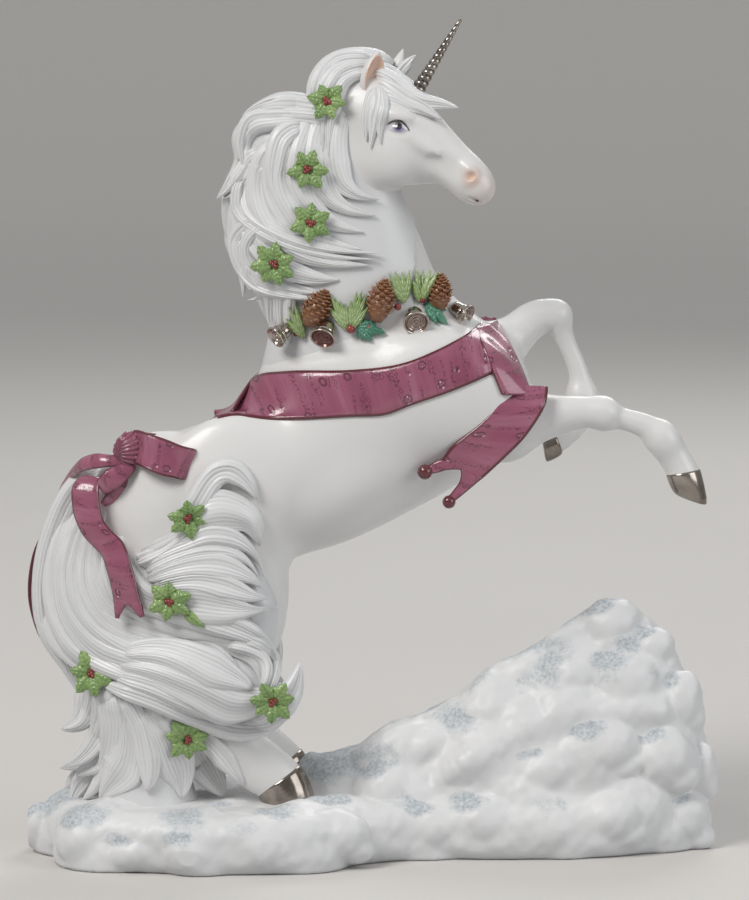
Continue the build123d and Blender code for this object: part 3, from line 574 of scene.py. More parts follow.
for stations, blend in ((torso_stations, 1.0), (neck_stations, 9.0), (right_foreleg_stations, 5.0),
                        (left_foreleg_stations, 5.0), (hind_leg_stations, 7.0)):
    oval_chain(trunk, stations, blend)
# The far hind leg is the near one mirrored
leg = in_mm(hind_leg_stations)
leg = np.column_stack([place(leg[:, 0], leg[:, 1], leg[:, 4]) * [1, -1, 1],
                       place(leg[:, 2], leg[:, 3], leg[:, 4]) * [1, -1, 1], leg[:, 5]])
leg = flow(leg, 5 * len(leg), by=6)
swept(trunk, leg[:, :3], leg[:, 3:6], leg[:, 6], 7.0)
# On both sides the muscles of shoulder, chest, forearm, thigh and flank
for side in (-1, 1):
    for px, py, y, radii, blend, turn in (
        (455, 392, 14.5, (13, 6.5, 17), 7.0, 62), (498, 425, 10.5, (6.5, 5.0, 8.5), 5.0, 35),
        (500, 388, 5.5, (6.5, 6.0, 9.0), 5.0, 20), (222, 492, 14.0, (16, 5.8, 20), 5.0, -28),
        (150, 490, 9.5, (13, 6.0, 15), 6.0, -35),
    ):
        trunk.blob(place(px, py, side * y), radii, blend, turn)
# The belly, the knees and fetlocks of the forelegs, and the hocks
for px, py, y, radii, blend, turn in (
    (345, 480, 0, (24, 18.5, 13.5), 4.0, 33), (602, 413, -12.3, (4.2, 3.9, 4.0), 2.0, 0),
    (557, 315, 12.7, (3.9, 3.7, 3.8), 2.0, 0), (663, 440, -11.6, (4.4, 3.5, 3.8), 2.0, -50),
    (582, 398, 12.7, (4.1, 3.5, 4.2), 2.0, 0), (236, 740, -11.5, (5.0, 4.0, 4.6), 2.5, -40),
    (236, 740, 11.5, (5.0, 4.0, 4.6), 2.5, -40),
):
    trunk.blob(place(px, py, y), radii, blend, turn)

# Head: built about an upright middle plane that is turned to the viewer
YAW = math.radians(17.0)
FORWARD = np.array([math.cos(YAW), -math.sin(YAW), 0.0])
RIGHT = np.array([-math.sin(YAW), -math.cos(YAW), 0.0])
POLL = place(345, 105, -1.5)


def on_head(px, py, lateral=0.0):
    """The point at a distance right of the head's middle plane that is seen at a pixel."""
    p0 = place(px, py, 0.0)
    way = place(px, py, 1.0) - p0
    t = ((POLL + RIGHT * lateral - p0) @ RIGHT) / (way @ RIGHT)
    return p0 + way * t


def head_mirror(points):
    """The points' places on the other side of the head."""
    return points - RIGHT * (2 * (points - POLL) @ RIGHT)[:, None]


head_rows = (
    (340, 84, 346, 132, 6.2), (362, 72, 362, 158, 7.6), (388, 76, 380, 178, 8.3),
    (411, 90, 402, 185, 7.6), (431, 110, 421, 184, 6.3), (447, 128, 438, 184, 5.3),
    (462, 144, 452, 191, 4.9), (476, 157, 464, 201, 4.7), (484, 167, 474, 205, 4.3),
    (488, 178, 482, 201, 3.4),
)
head = Clay((-16, -22, 152), (32, 12, 202), 0.34)
rows = flow(head_rows, 54, by=4)
high = np.array([on_head(x, y) for x, y in rows[:, :2]])
low = np.array([on_head(x, y) for x, y in rows[:, 2:4]])
half = np.linalg.norm(high - low, axis=1) / 2
head.chain((high + low) / 2, unit(high - low), np.tile(-RIGHT, (len(rows), 1)), half, rows[:, 4], 0.0)
for side in (-1, 1):
    # Jowl, brow, cheek ridge and nostril rim, the socket and its eyeball, the nostril and the cheek's hollow
    for px, py, lateral, radii, blend, angle, carve in (
        (385, 158, 4.6, (7.6, 4.4, 6.6), 3.0, -25, False), (396, 115, 6.2, (4.2, 2.2, 1.7), 2.2, -12, False),
        (420, 143, 5.6, (6.8, 1.3, 1.2), 2.2, -32, False), (467, 174, 3.6, (3.1, 1.9, 2.6), 1.6, -35, False),
        (398, 129, 8.9, (3.0, 1.5, 1.35), 1.2, -8, True), (398, 129, 6.9, (2.5, 1.2, 1.35), 0.5, -8, False),
        (471, 176, 5.6, (1.5, 1.3, 0.95), 0.6, 35, True), (448, 168, 6.4, (4.5, 1.6, 2.6), 2.5, -25, True),
    ):
        c, s = math.cos(math.radians(angle)), math.sin(math.radians(angle))
        axes = (FORWARD * c + UP * s, -RIGHT, UP * c - FORWARD * s)
        head.blob(on_head(px, py, lateral * side), radii, blend, carve=carve, axes=axes)
lip = [on_head(443, 185, 5.6), on_head(455, 191, 5.2), on_head(466, 197, 4.3), on_head(476, 200, 2.4),
       on_head(481, 200.5, 0.0)]
lip = flow(np.concatenate([lip, head_mirror(np.array(lip[-2::-1]))]), 26, by=3)
head.chain(lip, np.tile(UP, (26, 1)), unit(np.cross(np.gradient(lip, axis=0), UP)), np.full(26, 0.28),
           np.full(26, 0.6), 0.4, carve=True)
oval_chain(head, neck_stations, 3.5)
# The head's piece ends at a plane through the throat, and the trunk's a little past it
cut_at, cut_way = place(372, 196, 0), unit(np.array([0.40, 0.0, 1.0]))
for clay, shift, kept in ((head, 0.0, -1), (trunk, 0.6, 1)):
    x, _, z = [line.astype(np.float32) for line in clay.grid()]
    past = ((x - cut_at[0]) * cut_way[0])[:, None, None] + ((z - cut_at[2]) * cut_way[2])[None, None, :]
    clay.d = np.maximum(clay.d, (past - shift) * kept)
head_verts, head_faces = head.skin()
trunk_verts, trunk_faces = trunk.skin()
make("body", trunk_verts, trunk_faces, body_white,
     ("torso", "neck", "right_foreleg", "left_foreleg", "right_hind_leg", "left_hind_leg"))
# Pink on the nostrils and the muzzle: pixel, place across the head, strength and reach
pink = np.zeros(len(head_verts))
for px, py, lateral, strength, reach in ((472, 178, 4.4, 1.0, 2.2), (472, 178, -4.4, 1.0, 2.2),
                                         (486, 190, 0, 0.35, 5.0)):
    away = np.linalg.norm(head_verts - on_head(px, py, lateral), axis=1) / reach
    pink = np.maximum(pink, strength * np.exp(-(away**2)))
make("head_shell", head_verts, head_faces, face_white, ("head",), tone=pink)
trunk_tree, head_tree = tree(trunk_verts, trunk_faces), tree(head_verts, head_faces)

# Snow drift: a foot with a steep hill at its front end, heaped with lumps
LENGTH, SNOW, FOOT_TOP = 174.0, 62.6, 15.0
drift = Clay((-89, -40, -3), (89, 40, 65), 0.6)
# The foot's outline in plan, and the hill's levels: height share, rear, front, right and left side
FOOT = np.array([
    (-0.500, 0.02), (-0.482, -0.38), (-0.430, -0.76), (-0.345, -0.90), (-0.250, -0.99), (-0.150, -0.97),
    (-0.070, -0.86), (0.000, -0.60), (0.080, -0.46), (0.190, -0.47), (0.280, -0.44), (0.370, -0.36),
    (0.450, -0.14), (0.497, 0.10), (0.482, 0.50), (0.420, 0.78), (0.300, 0.96), (0.160, 0.99),
    (0.020, 0.90), (-0.120, 0.84), (-0.260, 0.72), (-0.380, 0.52), (-0.465, 0.28)]) * [LENGTH, HALF_DEPTH]
HILL = ((0.16, -0.138, 0.494, -0.42, 0.91), (0.36, -0.068, 0.498, -0.35, 0.82),
        (0.54, 0.035, 0.484, -0.24, 0.71), (0.70, 0.145, 0.460, -0.11, 0.60),
        (0.82, 0.212, 0.430, 0.00, 0.51), (0.93, 0.277, 0.397, 0.10, 0.42))
# Lumps round each level: how many, size, first turn and how far they are sunk
HEAPS = ((8, 0.66, 0.2, 0.0), (8, 0.68, 0.6, 0.0), (8, 0.74, 0.1, 0.0), (5, 0.86, 0.7, 0.1),
         (4, 0.94, 0.3, 0.1), (2, 1.15, 0.0, 0.4))


def outline_distance(points, loop):
    """Signed distance in plan to a closed outline, inside negative."""
    best = np.full(len(points), 1e9)
    inside = np.zeros(len(points), bool)
    for p, q in zip(loop, np.roll(loop, -1, axis=0)):
        e, w = q - p, points - p
        t = np.clip((w @ e) / (e @ e), 0, 1)[:, None]
        best = np.minimum(best, ((w - t * e) ** 2).sum(1))
        flip = (p[1] > points[:, 1]) != (q[1] > points[:, 1])
        at = e[0] * (points[:, 1] - p[1]) / (e[1] if abs(e[1]) > 1e-9 else 1e-9) + p[0]
        inside ^= flip & (points[:, 0] < at)
    best = np.sqrt(best)
    return np.where(inside, -best, best)


gx, gy, gz = drift.grid()
plan = np.stack(np.meshgrid(gx, gy, indexing="ij"), -1).reshape(-1, 2)
rim = flow(np.concatenate([FOOT, FOOT[:1]]) * 0.955, 160)[:-1]
edge = outline_distance(plan, rim).reshape(len(gx), len(gy))
roll, middle_height, half_height = 5.5, 6.6, 7.6
out = np.maximum(edge[:, :, None] + roll, 0)
over = np.maximum(np.abs(gz - middle_height)[None, None, :] - (half_height - roll), 0)
drift.d = (np.sqrt(out**2 + over**2) - roll).astype(np.float32)
h, rear, front, right, left = (np.array(HILL) * [SNOW, LENGTH, LENGTH, HALF_DEPTH, HALF_DEPTH]).T
levels = np.column_stack([h, (rear + front) / 2, (right + left) / 2, (front - rear) / 2, (left - right) / 2])
middles, halves = levels[:, 1:3], levels[:, 3:]
levels = flow(levels, 22, by=4)
under_lumps = 2.6
drift.chain(levels[:, [1, 2, 0]], np.tile([1.0, 0, 0], (22, 1)), np.tile(SIDE, (22, 1)),
            levels[:, 3] - under_lumps, levels[:, 4] - under_lumps, 2.0)
tops = []


def snow_lump(centre, radii, k=0.9, turn=0.0):
    drift.blob(centre, radii, k, turn)
    tops.append((np.array(centre, float), np.array(radii, float)))


skin_left = 0.6
for height, middle, half, (count, size, turn, drop) in zip(h, middles, halves, HEAPS):
    r = half[1] * size - skin_left
    for a in 2 * math.pi * (np.arange(count) + turn) / count:
        spot = middle + (half - r - skin_left) * [math.cos(a), math.sin(a)]
        snow_lump((*spot, height - r * drop), (r, r, r))
for i in range(0, len(FOOT), 2):
    r = 13.0 * (1.0, 0.85, 1.1)[i % 3]
    along = unit(FOOT[(i + 1) % len(FOOT)] - FOOT[i - 1])
    at = FOOT[i] + np.array([-along[1], along[0]]) * (r + 0.7)
    snow_lump((*at, FOOT_TOP - r * 0.88 - skin_left), (r, r, r))
# The hill's long slope stays under its line in the photo, and falls away on both sides of its ridge
SLOPE = np.array([
    (290, 735), (320, 752), (359, 743), (385, 724), (430, 708), (459, 693), (488, 665), (524, 651),
    (556, 630), (572, 617), (616, 592), (640, 560)], float)
gap = np.stack(np.meshgrid(gx, gy, gz, indexing="ij"), -1).astype(np.float32) - np.array(EYE, np.float32)
depth = gap[..., 1] * math.cos(TILT) - gap[..., 2] * math.sin(TILT)
seen_x = MIDDLE[0] + gap[..., 0] * DISTANCE / depth / PIXEL
seen_y = MIDDLE[1] - (gap[..., 1] * math.sin(TILT) + gap[..., 2] * math.cos(TILT)) * DISTANCE / depth / PIXEL
steep = np.gradient(SLOPE[:, 1]) / np.gradient(SLOPE[:, 0])
lean = np.interp(seen_x, SLOPE[:, 0], 1 / np.sqrt(1 + steep**2))
above = (np.interp(seen_x, SLOPE[:, 0], SLOPE[:, 1]) - seen_y) * PIXEL * lean + 0.4
ridge = 10.0
above += np.clip(0.009 * (gy[None, :, None] - ridge) ** 2 - 0.3, 0, 9) * np.clip((616 - seen_x) / 60, 0, 1)
above = np.where((seen_x > 290) & (seen_x < 640), above, -30.0).astype(np.float32)
drift.d = -smooth_min(-drift.d, -above, 2.4)


def first_snow(px, py):
    """The first point of the drift on the sight line through a pixel."""
    a, b = place(px, py, -42.0), place(px, py, 42.0)
    line = a + (b - a) * np.linspace(0, 1, 320)[:, None]
    i = np.round((line - drift.low) / drift.step).astype(int)
    ok = ((i >= 0) & (i < drift.shape)).all(1)
    i = np.clip(i, 0, np.array(drift.shape) - 1)
    inside = ok & (drift.d[tuple(i.T)] < 0)
    return line[inside.argmax()] if inside.any() else None


# Broad rolls of snow seen from the front: pixel, half width and half height in mm, turn, stand-out
ROLLS = (
    (611, 627, 8.2, 6.6, 12, 1.6), (654, 650, 5.4, 6.0, -35, 1.4), (682, 705, 5.6, 8.0, -10, 1.5),
    (628, 690, 9.5, 9.0, 8, 1.6), (570, 680, 9.0, 6.8, 28, 1.5), (518, 722, 8.4, 6.2, 30, 1.6),
    (664, 762, 8.2, 8.4, 6, 1.7), (700, 772, 4.6, 7.6, 0, 1.2), (605, 752, 9.6, 7.4, 14, 1.6),
    (545, 775, 8.8, 7.4, 18, 1.6), (472, 765, 9.6, 7.2, 26, 1.6), (425, 752, 8.4, 5.4, 24, 1.5),
    (385, 790, 8.6, 6.0, 20, 1.6), (610, 822, 9.0, 7.4, 8, 1.7), (684, 822, 7.4, 7.8, -8, 1.6),
    (548, 835, 8.8, 6.6, 6, 1.6), (485, 825, 9.0, 6.8, 10, 1.6), (430, 830, 7.4, 6.2, 8, 1.5),
    (82, 842, 6.6, 6.8, 0, 1.4), (135, 856, 8.0, 5.0, 4, 1.4), (190, 858, 7.6, 5.4, 0, 1.4),
    (262, 850, 9.4, 6.4, 4, 1.5), (338, 840, 8.0, 6.4, 8, 1.5), (38, 828, 4.4, 6.0, 0, 1.0),
)
for px, py, wide, high, turn, stand in ROLLS:
    at = first_snow(px, py)
    if at is not None:
        deep = wide * 0.8
        snow_lump(at + [0, deep - stand, 0], (wide, deep, high), 0.7, turn)
        snow_lump(at + [wide * 0.5, deep * 0.7 - stand * 0.4, -high * 0.55],
                  (wide * 0.6, deep * 0.55, high * 0.5), 0.7, turn)
# A fold that hangs over along the slope
fold = [first_snow(x, y) for x, y in (
    (662, 712), (625, 714), (585, 716), (545, 728), (505, 744), (470, 762), (442, 780))]
fold = flow(np.array([p for p in fold if p is not None]) + [0, 2.5, 0.4], 26, by=3)
drift.chain(fold, np.tile(UP, (26, 1)), np.tile(SIDE, (26, 1)),
            3.4 * np.sin(np.linspace(0.4, 2.8, 26)) ** 0.5,
            np.full(26, 3.2), 3.0)
for px, py, r in ((230, 806, 5), (318, 802, 5.5), (345, 800, 6)):
    snow_lump(place(px, py, -14.0) - [0, 0, r * 0.75], (r * 1.5, r, r), 1.2)


def waves(p, scale, seed):
    """Smooth noise from a few dozen waves."""
    r = np.random.default_rng(seed)
    total = np.zeros(len(p))
    for _ in range(24):
        way = unit(r.normal(size=3)) * r.uniform(0.6, 1.6) / scale
        total += np.sin(p @ way * 2 * math.pi + r.uniform(0, 6.28))
    return total / 24**0.5


def smooth_normals(verts, faces):
    a, b, c, d = [verts[column] for column in faces.T]
    total, normals = np.zeros_like(verts), np.cross(c - a, d - b)
    for column in faces.T:
        np.add.at(total, column, normals)
    return unit(total)


drift.d = np.maximum(drift.d, -gz[None, None, :].astype(np.float32))
snow_verts, snow_faces = drift.skin()
normals = smooth_normals(snow_verts, snow_faces)
fade = np.clip(snow_verts[:, 2] / 3.0, 0, 1)[:, None]
swell = 0.28 * waves(snow_verts, 11.0, 3) + 0.10 * waves(snow_verts, 4.0, 5)
snow_verts = snow_verts + normals * fade * swell[:, None]
snow_verts = np.clip(snow_verts, [-86.9, -38.0, 0.0], [86.6, 38.0, 62.3])
# Frost lies on the upper rear edge of the lumps
frost = np.zeros(len(snow_verts))
rng = np.random.default_rng(7)
for centre, radii in tops:
    if rng.uniform() < 0.30:
        continue
    way = np.array([-0.45, -0.35, 0.80])
    d = (snow_verts - centre - way * radii * 0.95) / (radii * [0.75, 0.75, 0.50])
    frost = np.maximum(frost, rng.uniform(0.7, 1.1) * np.exp(-(d**2).sum(1)))
frost *= np.clip(normals[:, 2] * 1.6 + 0.6, 0, 1)
make("snow_drift", snow_verts, snow_faces, snow_material(), ("snow_base",),
     tone=np.clip(frost, 0, 1))

# Hair: grooved locks combed over a form
hair_form = Clay((-88, -30, 4), (10, 24, 202), 0.9)
oval_chain(hair_form, neck_stations, 0.5, grow=0.6)
# The form of the mane, then the tail's, its side on the haunch and its lower sweep
oval_chain(hair_form, (
    (352, 60, 374, 108, -0.06, 0.62), (322, 66, 348, 124, -0.06, 0.66), (300, 106, 342, 160, -0.06, 0.70),
    (254, 126, 345, 185, -0.06, 0.66), (249, 170, 350, 215, -0.07, 0.66), (244, 212, 350, 245, -0.08, 0.66),
    (242, 246, 340, 275, -0.09, 0.70), (256, 280, 320, 300, -0.09, 0.80), (272, 316, 304, 322, -0.08, 0.90),
), 4.0)
oval_chain(hair_form, (
    (104, 470, 150, 496, -0.02, 0.60), (74, 500, 156, 538, -0.04, 0.56), (52, 548, 172, 580, -0.08, 0.62),
    (50, 606, 214, 622, -0.10, 0.62), (74, 660, 236, 656, -0.12, 0.66), (92, 706, 224, 700, -0.14, 0.76),
    (104, 742, 200, 735, -0.14, 0.98), (102, 776, 192, 775, -0.14, 1.10), (92, 822, 206, 818, -0.14, 1.04),
), 3.0)
oval_chain(hair_form, (
    (118, 540, 128, 606, -0.30, 0.80), (168, 528, 182, 622, -0.40, 0.58), (222, 534, 236, 648, -0.44, 0.46),
    (256, 576, 264, 650, -0.45, 0.62),
), 4.0)
oval_chain(hair_form, (
    (120, 640, 126, 700, -0.30, 0.90), (168, 640, 170, 708, -0.40, 0.80), (214, 644, 220, 716, -0.46, 0.66),
    (256, 654, 262, 716, -0.48, 0.60), (282, 690, 284, 712, -0.50, 0.90),
), 4.0)
form_verts, form_faces = hair_form.skin()
form_tree = tree(form_verts, form_faces)


def smoothed(values, reach):
    """A running mean that keeps the two ends."""
    pad = np.pad(values, ((reach, reach), (0, 0)), mode="edge")
    kernel = np.ones(2 * reach + 1) / (2 * reach + 1)
    return np.stack([np.convolve(pad[:, k], kernel, "valid") for k in range(values.shape[1])], -1)


def settle(line, lift, side, trees):
    """Points and outward ways on the form along a line of pixels."""
    hits, normals = cast(trees, place(line[:, 0], line[:, 1]), side)
    # What is hit past the middle belongs to the other side
    good = np.nan_to_num(hits[:, 1], nan=-99.0 * side) * side > -3.0
    at = np.arange(len(line))
    if good.any():
        y = np.interp(at, at[good], hits[good, 1])
        normals = np.stack([np.interp(at, at[good], normals[good, k]) for k in range(3)], -1)
    else:
        y, normals = np.zeros(len(line)), np.tile([0.0, side, 0.0], (len(line), 1))
    y = smoothed(y[:, None], max(len(line) // 12, 1))[:, 0] + side * lift
    points = place(line[:, 0], line[:, 1], -side * y) * side_turn(side)
    return points, unit(smoothed(normals, max(len(line) // 10, 1)) * 0.6 + np.array([0.0, side, 0.0]) * 0.6)


# A lock's section: many points evenly across its outer side, few on its inner side
INNER, OUTER = np.linspace(math.pi * 1.06, math.pi * 1.94, 9), np.linspace(0.995, -0.995, 43)
ACROSS = np.concatenate([OUTER, np.cos(INNER)])
OUTWARD = np.concatenate([np.sqrt(1 - OUTER**2), np.sin(INNER)])
STRAND_WIDTH, ROOT_DEPTH = 1.05, 1.8


def lock(heap, points, ways, half, thick, rng):
    """A lock through points with a half width at each, grooved on its outer side."""
    n = len(points)
    along = unit(np.gradient(points, axis=0))
    out = unit(ways - along * (ways * along).sum(1)[:, None])
    across = np.cross(along, out)
    half = np.maximum(half, 0.06)
    deep = thick * np.sqrt(half / half.max())
    strands = max(int(round(half.max() * 2 / STRAND_WIDTH)), 2)
    u, v = ACROSS, OUTWARD
    s = np.linspace(0, 1, n)[:, None]
    wobble = 0.22 * np.sin(s * rng.uniform(2, 5) + rng.uniform(0, 6))
    wobble = wobble + 0.1 * np.sin(s * 11 + rng.uniform(0, 6))
    wave = np.abs(np.sin(math.pi * (strands * (u + 1) / 2 * (1 + 0.06 * np.sin(s * 5)) + wobble)))
    front = np.clip(v, 0, 1) ** 0.5
    a, b, c = rng.uniform(0, 6.28, 3)
    uneven = 0.25 + 0.75 * (0.5 + 0.5 * np.sin(u * 5.1 + s * 2.2 + a) * np.sin(u * 2.6 - s * 1.7 + b))
    broad = np.cos(u * 4.6 + c + 1.2 * np.sin(3 * s)) * front * np.minimum(0.45, half * 0.10)[:, None]
    rise = (wave**0.65 - 0.62) * front * uneven
    size = np.minimum(0.30, half * 0.4)[:, None]
    bend = np.sign(v) * np.abs(v) ** 0.85
    # The root dives into what it grows from
    sink = ROOT_DEPTH * np.clip(1 - s / 0.10, 0, 1) ** 1.5
    verts = (points[:, None, :] + across[:, None, :] * (half[:, None] * u)[:, :, None]
             + out[:, None, :] * (deep[:, None] * bend + rise * size + broad - sink)[:, :, None])
    # The grooves and the rims of the lock are darkened through the tone: painted shade, partly the glaze's
    # own tint in the grooves
    groove = (1 - wave) ** 1.6 * front * uneven
    rim = np.clip((np.abs(u) - 0.72) / 0.28, 0, 1) ** 1.5
    tone = np.clip(np.maximum(groove * 0.62, rim * 0.38), 0, 1)
    heap.add(verts.reshape(-1, 3), tube_faces(n, len(u)), tone.ravel())


def taper(count, end):
    """Half-width share along a lock, rounding in at the root and drawing out to a point."""
    s = np.linspace(0, 1, count)
    return (0.5 + 0.5 * np.clip(s / 0.12, 0, 1) ** 0.7) * np.clip((1 - s) / end, 0, 1) ** 0.75


def length_of(line):
    return np.linalg.norm(np.diff(line[:, :2], axis=0), axis=1).sum() * PIXEL


LINE, OVERLAP, JITTER = 64, 1.42, 0.3  # points of a comb's lines, locks' overlap and uneven lift


def comb(heap, a, b, count, seed, lift=0.5, side=-1, end=0.45, thick=1.5):
    """Locks laid side by side between two lines of pixels."""
    rng = np.random.default_rng(seed)
    a, b = flow(a, LINE), flow(b, LINE)
    for k in rng.permutation(count):
        f = (k + 0.5) / count
        line = a * (1 - f) + b * f
        half = np.linalg.norm(a - b, axis=1) * PIXEL / count * OVERLAP / 2
        first, last = int(rng.uniform(0, 5)), LINE - int(rng.uniform(0, 9))
        line, half = line[first:last], half[first:last]
        rows = np.column_stack([line, np.clip(half, 0.9, 6.2) * taper(len(line), end)])
        table = flow(rows, int(np.clip(length_of(line) / 0.75, 20, 90)))
        points, ways = settle(table[:, :2], lift + rng.uniform(-JITTER, JITTER), side,
                              [form_tree, trunk_tree])
        lock(heap, points, ways, table[:, 2], thick + rng.uniform(-0.2, 0.3), rng)


def wisp(heap, rows, width, thick, seed, lift=0.8, side=-1, end=0.5, under=form_tree):
    """One lock along pixels, at its width in mm. Rows of three give their own depth share."""
    rng = np.random.default_rng(seed)
    rows = np.array(rows, float)
    line = flow(rows, int(np.clip(length_of(rows) / 0.7, 22, 90)))
    if rows.shape[1] > 2:
        points, ways = place(line[:, 0], line[:, 1], line[:, 2] * HALF_DEPTH), np.tile(-SIDE, (len(line), 1))
    else:
        points, ways = settle(line, lift, side, [under, trunk_tree])
    lock(heap, points, ways, width / 2 * taper(len(line), end), thick, rng)


# Lines that the mane's long locks are combed between
MANE = (
    ((356, 100), (344, 128), (343, 158), (354, 182), (380, 193)),
    ((342, 100), (330, 130), (326, 162), (340, 194), (384, 206)),
    ((326, 108), (308, 145), (308, 180), (328, 208), (388, 226)),
    ((310, 118), (288, 152), (288, 192), (315, 226), (388, 243)),
    ((296, 126), (270, 162), (272, 204), (304, 242), (384, 258)),
    ((280, 134), (256, 170), (254, 212), (288, 256), (378, 272)),
    ((262, 150), (243, 188), (244, 230), (275, 275), (352, 286)),
    ((250, 190), (238, 220), (240, 252), (264, 286), (318, 300)),
)
mane, mane_far = Heap(), Heap()
for i in range(len(MANE) - 1):
    comb(mane, MANE[i], MANE[i + 1], 1, 10 + i, lift=0.6, end=0.5)
    comb(mane_far, MANE[i], MANE[i + 1], 1, 40 + i, lift=0.6, side=1, end=0.5)
# Its short locks: two lines, how many locks between them, lift and thickness
SHORT = (
    (((384, 60), (358, 52), (330, 56), (314, 74), (310, 100), (312, 128), (318, 156)),
     ((384, 82), (362, 78), (346, 86), (338, 106), (334, 130), (332, 152), (330, 172)), 3, 1.4, 1.5),
    (((330, 98), (304, 98), (280, 99), (258, 107), (242, 116)),
     ((330, 126), (305, 122), (284, 122), (264, 121), (246, 119)), 2, 1.5, 1.9),
    (((306, 112), (274, 112), (247, 116), (238, 138), (243, 168), (262, 204)),
     ((306, 128), (280, 128), (258, 133), (251, 150), (258, 172), (270, 200)), 2, 1.8, 1.9),
    (((300, 124), (276, 132), (268, 156), (268, 184), (276, 214)),
     ((312, 128), (290, 140), (282, 162), (282, 188), (290, 216)), 1, 1.5, 1.5),
    (((262, 142), (246, 158), (236, 172), (228, 186), (216, 199)),
     ((268, 166), (258, 180), (246, 192), (234, 198), (219, 201)), 2, 0.9, 1.9),
    (((246, 160), (234, 186), (234, 212), (262, 238), (310, 256), (380, 262)),
     ((262, 170), (252, 192), (256, 212), (284, 232), (322, 244), (380, 250)), 2, 1.2, 1.8),
    (((262, 214), (240, 224), (231, 242), (238, 268), (256, 288), (300, 300), (330, 302)),
     ((276, 226), (258, 238), (252, 252), (258, 268), (276, 282), (310, 290), (340, 292)), 2, 1.2, 1.8),
    (((248, 256), (246, 274), (258, 288), (254, 296), (242, 299)),
     ((266, 262), (262, 276), (270, 290), (262, 299), (246, 300)), 1, 0.8, 1.5),
    (((262, 278), (266, 300), (270, 325), (280, 346)),
     ((296, 290), (294, 310), (294, 328), (290, 346)), 3, 0.6, 1.5),
)
for heap, side, seed in ((mane, -1, 100), (mane_far, 1, 200)):
    for k, (a, b, count, lift, thick) in enumerate(SHORT):
        comb(heap, a, b, count, seed + k, lift, side, thick=thick)
# The crest's lines, each point with its share of the lock's depth
CREST = (
    (((392, 66, 1), (368, 57, 1), (338, 60, 1), (319, 76, 1), (314, 100, 1), (318, 128, 1)), 1.8),
    (((318, 108, 2), (290, 101, 2), (262, 106, 1), (242, 116, 1)), 1.9),
    (((262, 120, 2), (242, 135, 2), (243, 160, 1), (230, 182, 1), (216, 199, 1)), 1.9),
    (((246, 190, 2), (238, 212, 2), (234, 240, 1), (242, 266, 1), (243, 298, 1)), 1.9),
    (((254, 262, 2), (262, 286, 1), (270, 312, 1), (276, 336, 1)), 1.8),
)
crest = Heap()
for k, (depth, width) in enumerate(((-0.05, 4.4), (0.0, 4.8), (0.06, 4.4))):
    for n, (line, thick) in enumerate(CREST):
        wisp(crest, np.array(line) * [1, 1, depth], width, thick, 300 + 10 * n + k)
fore = Heap()
for k, (rows, w, t) in enumerate((
    (((370, 72, -0.12), (388, 79, -0.20), (404, 91, -0.25), (420, 101, -0.29), (441, 104, -0.31),
      (459, 108, -0.33)), 4.8, 1.6),
    (((374, 83, -0.18), (392, 91, -0.26), (408, 101, -0.29), (425, 109, -0.31), (442, 120, -0.32)), 4.6, 1.5),
    (((370, 66, -0.04), (386, 72, -0.08), (401, 83, -0.14), (414, 97, -0.20), (434, 103, -0.24)), 4.4, 1.6),
    (((378, 94, -0.24), (392, 100, -0.29), (407, 107, -0.31), (424, 113, -0.32)), 2.8, 1.1),
    (((394, 80, 0.00), (403, 70, -0.02), (410, 61, -0.03), (416, 55, -0.04)), 3.0, 1.3),
    (((386, 74, 0.06), (403, 84, 0.04), (418, 97, -0.02), (437, 103, -0.08)), 4.4, 1.8),
    (((372, 72, 0.10), (390, 79, 0.12), (406, 91, 0.08), (420, 105, 0.02), (436, 114, -0.02)), 4.4, 1.8),
)):
    wisp(fore, rows, w, t, 400 + k, end=0.4)
cheek = Heap()
for k, (rows, w) in enumerate((
    (((378, 84), (379, 104), (374, 124), (371, 149)), 3.6),
    (((381, 90), (384, 106), (380, 126), (381, 144)), 2.8),
    (((374, 88), (369, 106), (366, 126), (367, 142)), 3.0),
)):
    wisp(cheek, rows, w, 1.1, 430 + k, lift=0.3, under=head_tree)

# Lines of the tail: its outer locks, those on the haunch, the lower sweep and the skirt
OUTER_TAIL = (
    ((90, 474), (62, 505), (46, 545), (41, 590), (47, 630), (64, 660), (82, 686), (84, 706)),
    ((98, 486), (74, 520), (60, 560), (60, 605), (82, 642), (120, 664), (165, 682), (205, 706)),
    ((106, 500), (88, 540), (82, 580), (100, 616), (142, 638), (196, 648), (230, 672), (238, 702)),
    ((114, 520), (104, 555), (112, 590), (144, 616), (192, 630), (236, 640), (266, 662), (266, 704)),
    ((122, 536), (128, 568), (152, 596), (196, 608), (240, 622), (272, 642), (282, 672), (262, 714)),
)
HAUNCH = (
    ((138, 548), (168, 536), (192, 512), (212, 492), (236, 482), (256, 500)),
    ((140, 562), (182, 542), (214, 528), (244, 536), (263, 560), (263, 592)),
    ((142, 578), (186, 560), (222, 558), (246, 568), (257, 584), (252, 592)),
    ((146, 594), (190, 590), (226, 598), (256, 606), (286, 604)),
    ((160, 612), (204, 622), (240, 620), (264, 613), (287, 605)),
)
SWEEP = (
    ((112, 652), (158, 642), (204, 658), (234, 682), (238, 706)),
    ((106, 668), (150, 680), (200, 700), (242, 716), (274, 706), (292, 684), (298, 664)),
    ((104, 692), (150, 706), (200, 726), (246, 738), (282, 724), (297, 692), (300, 664)),
)
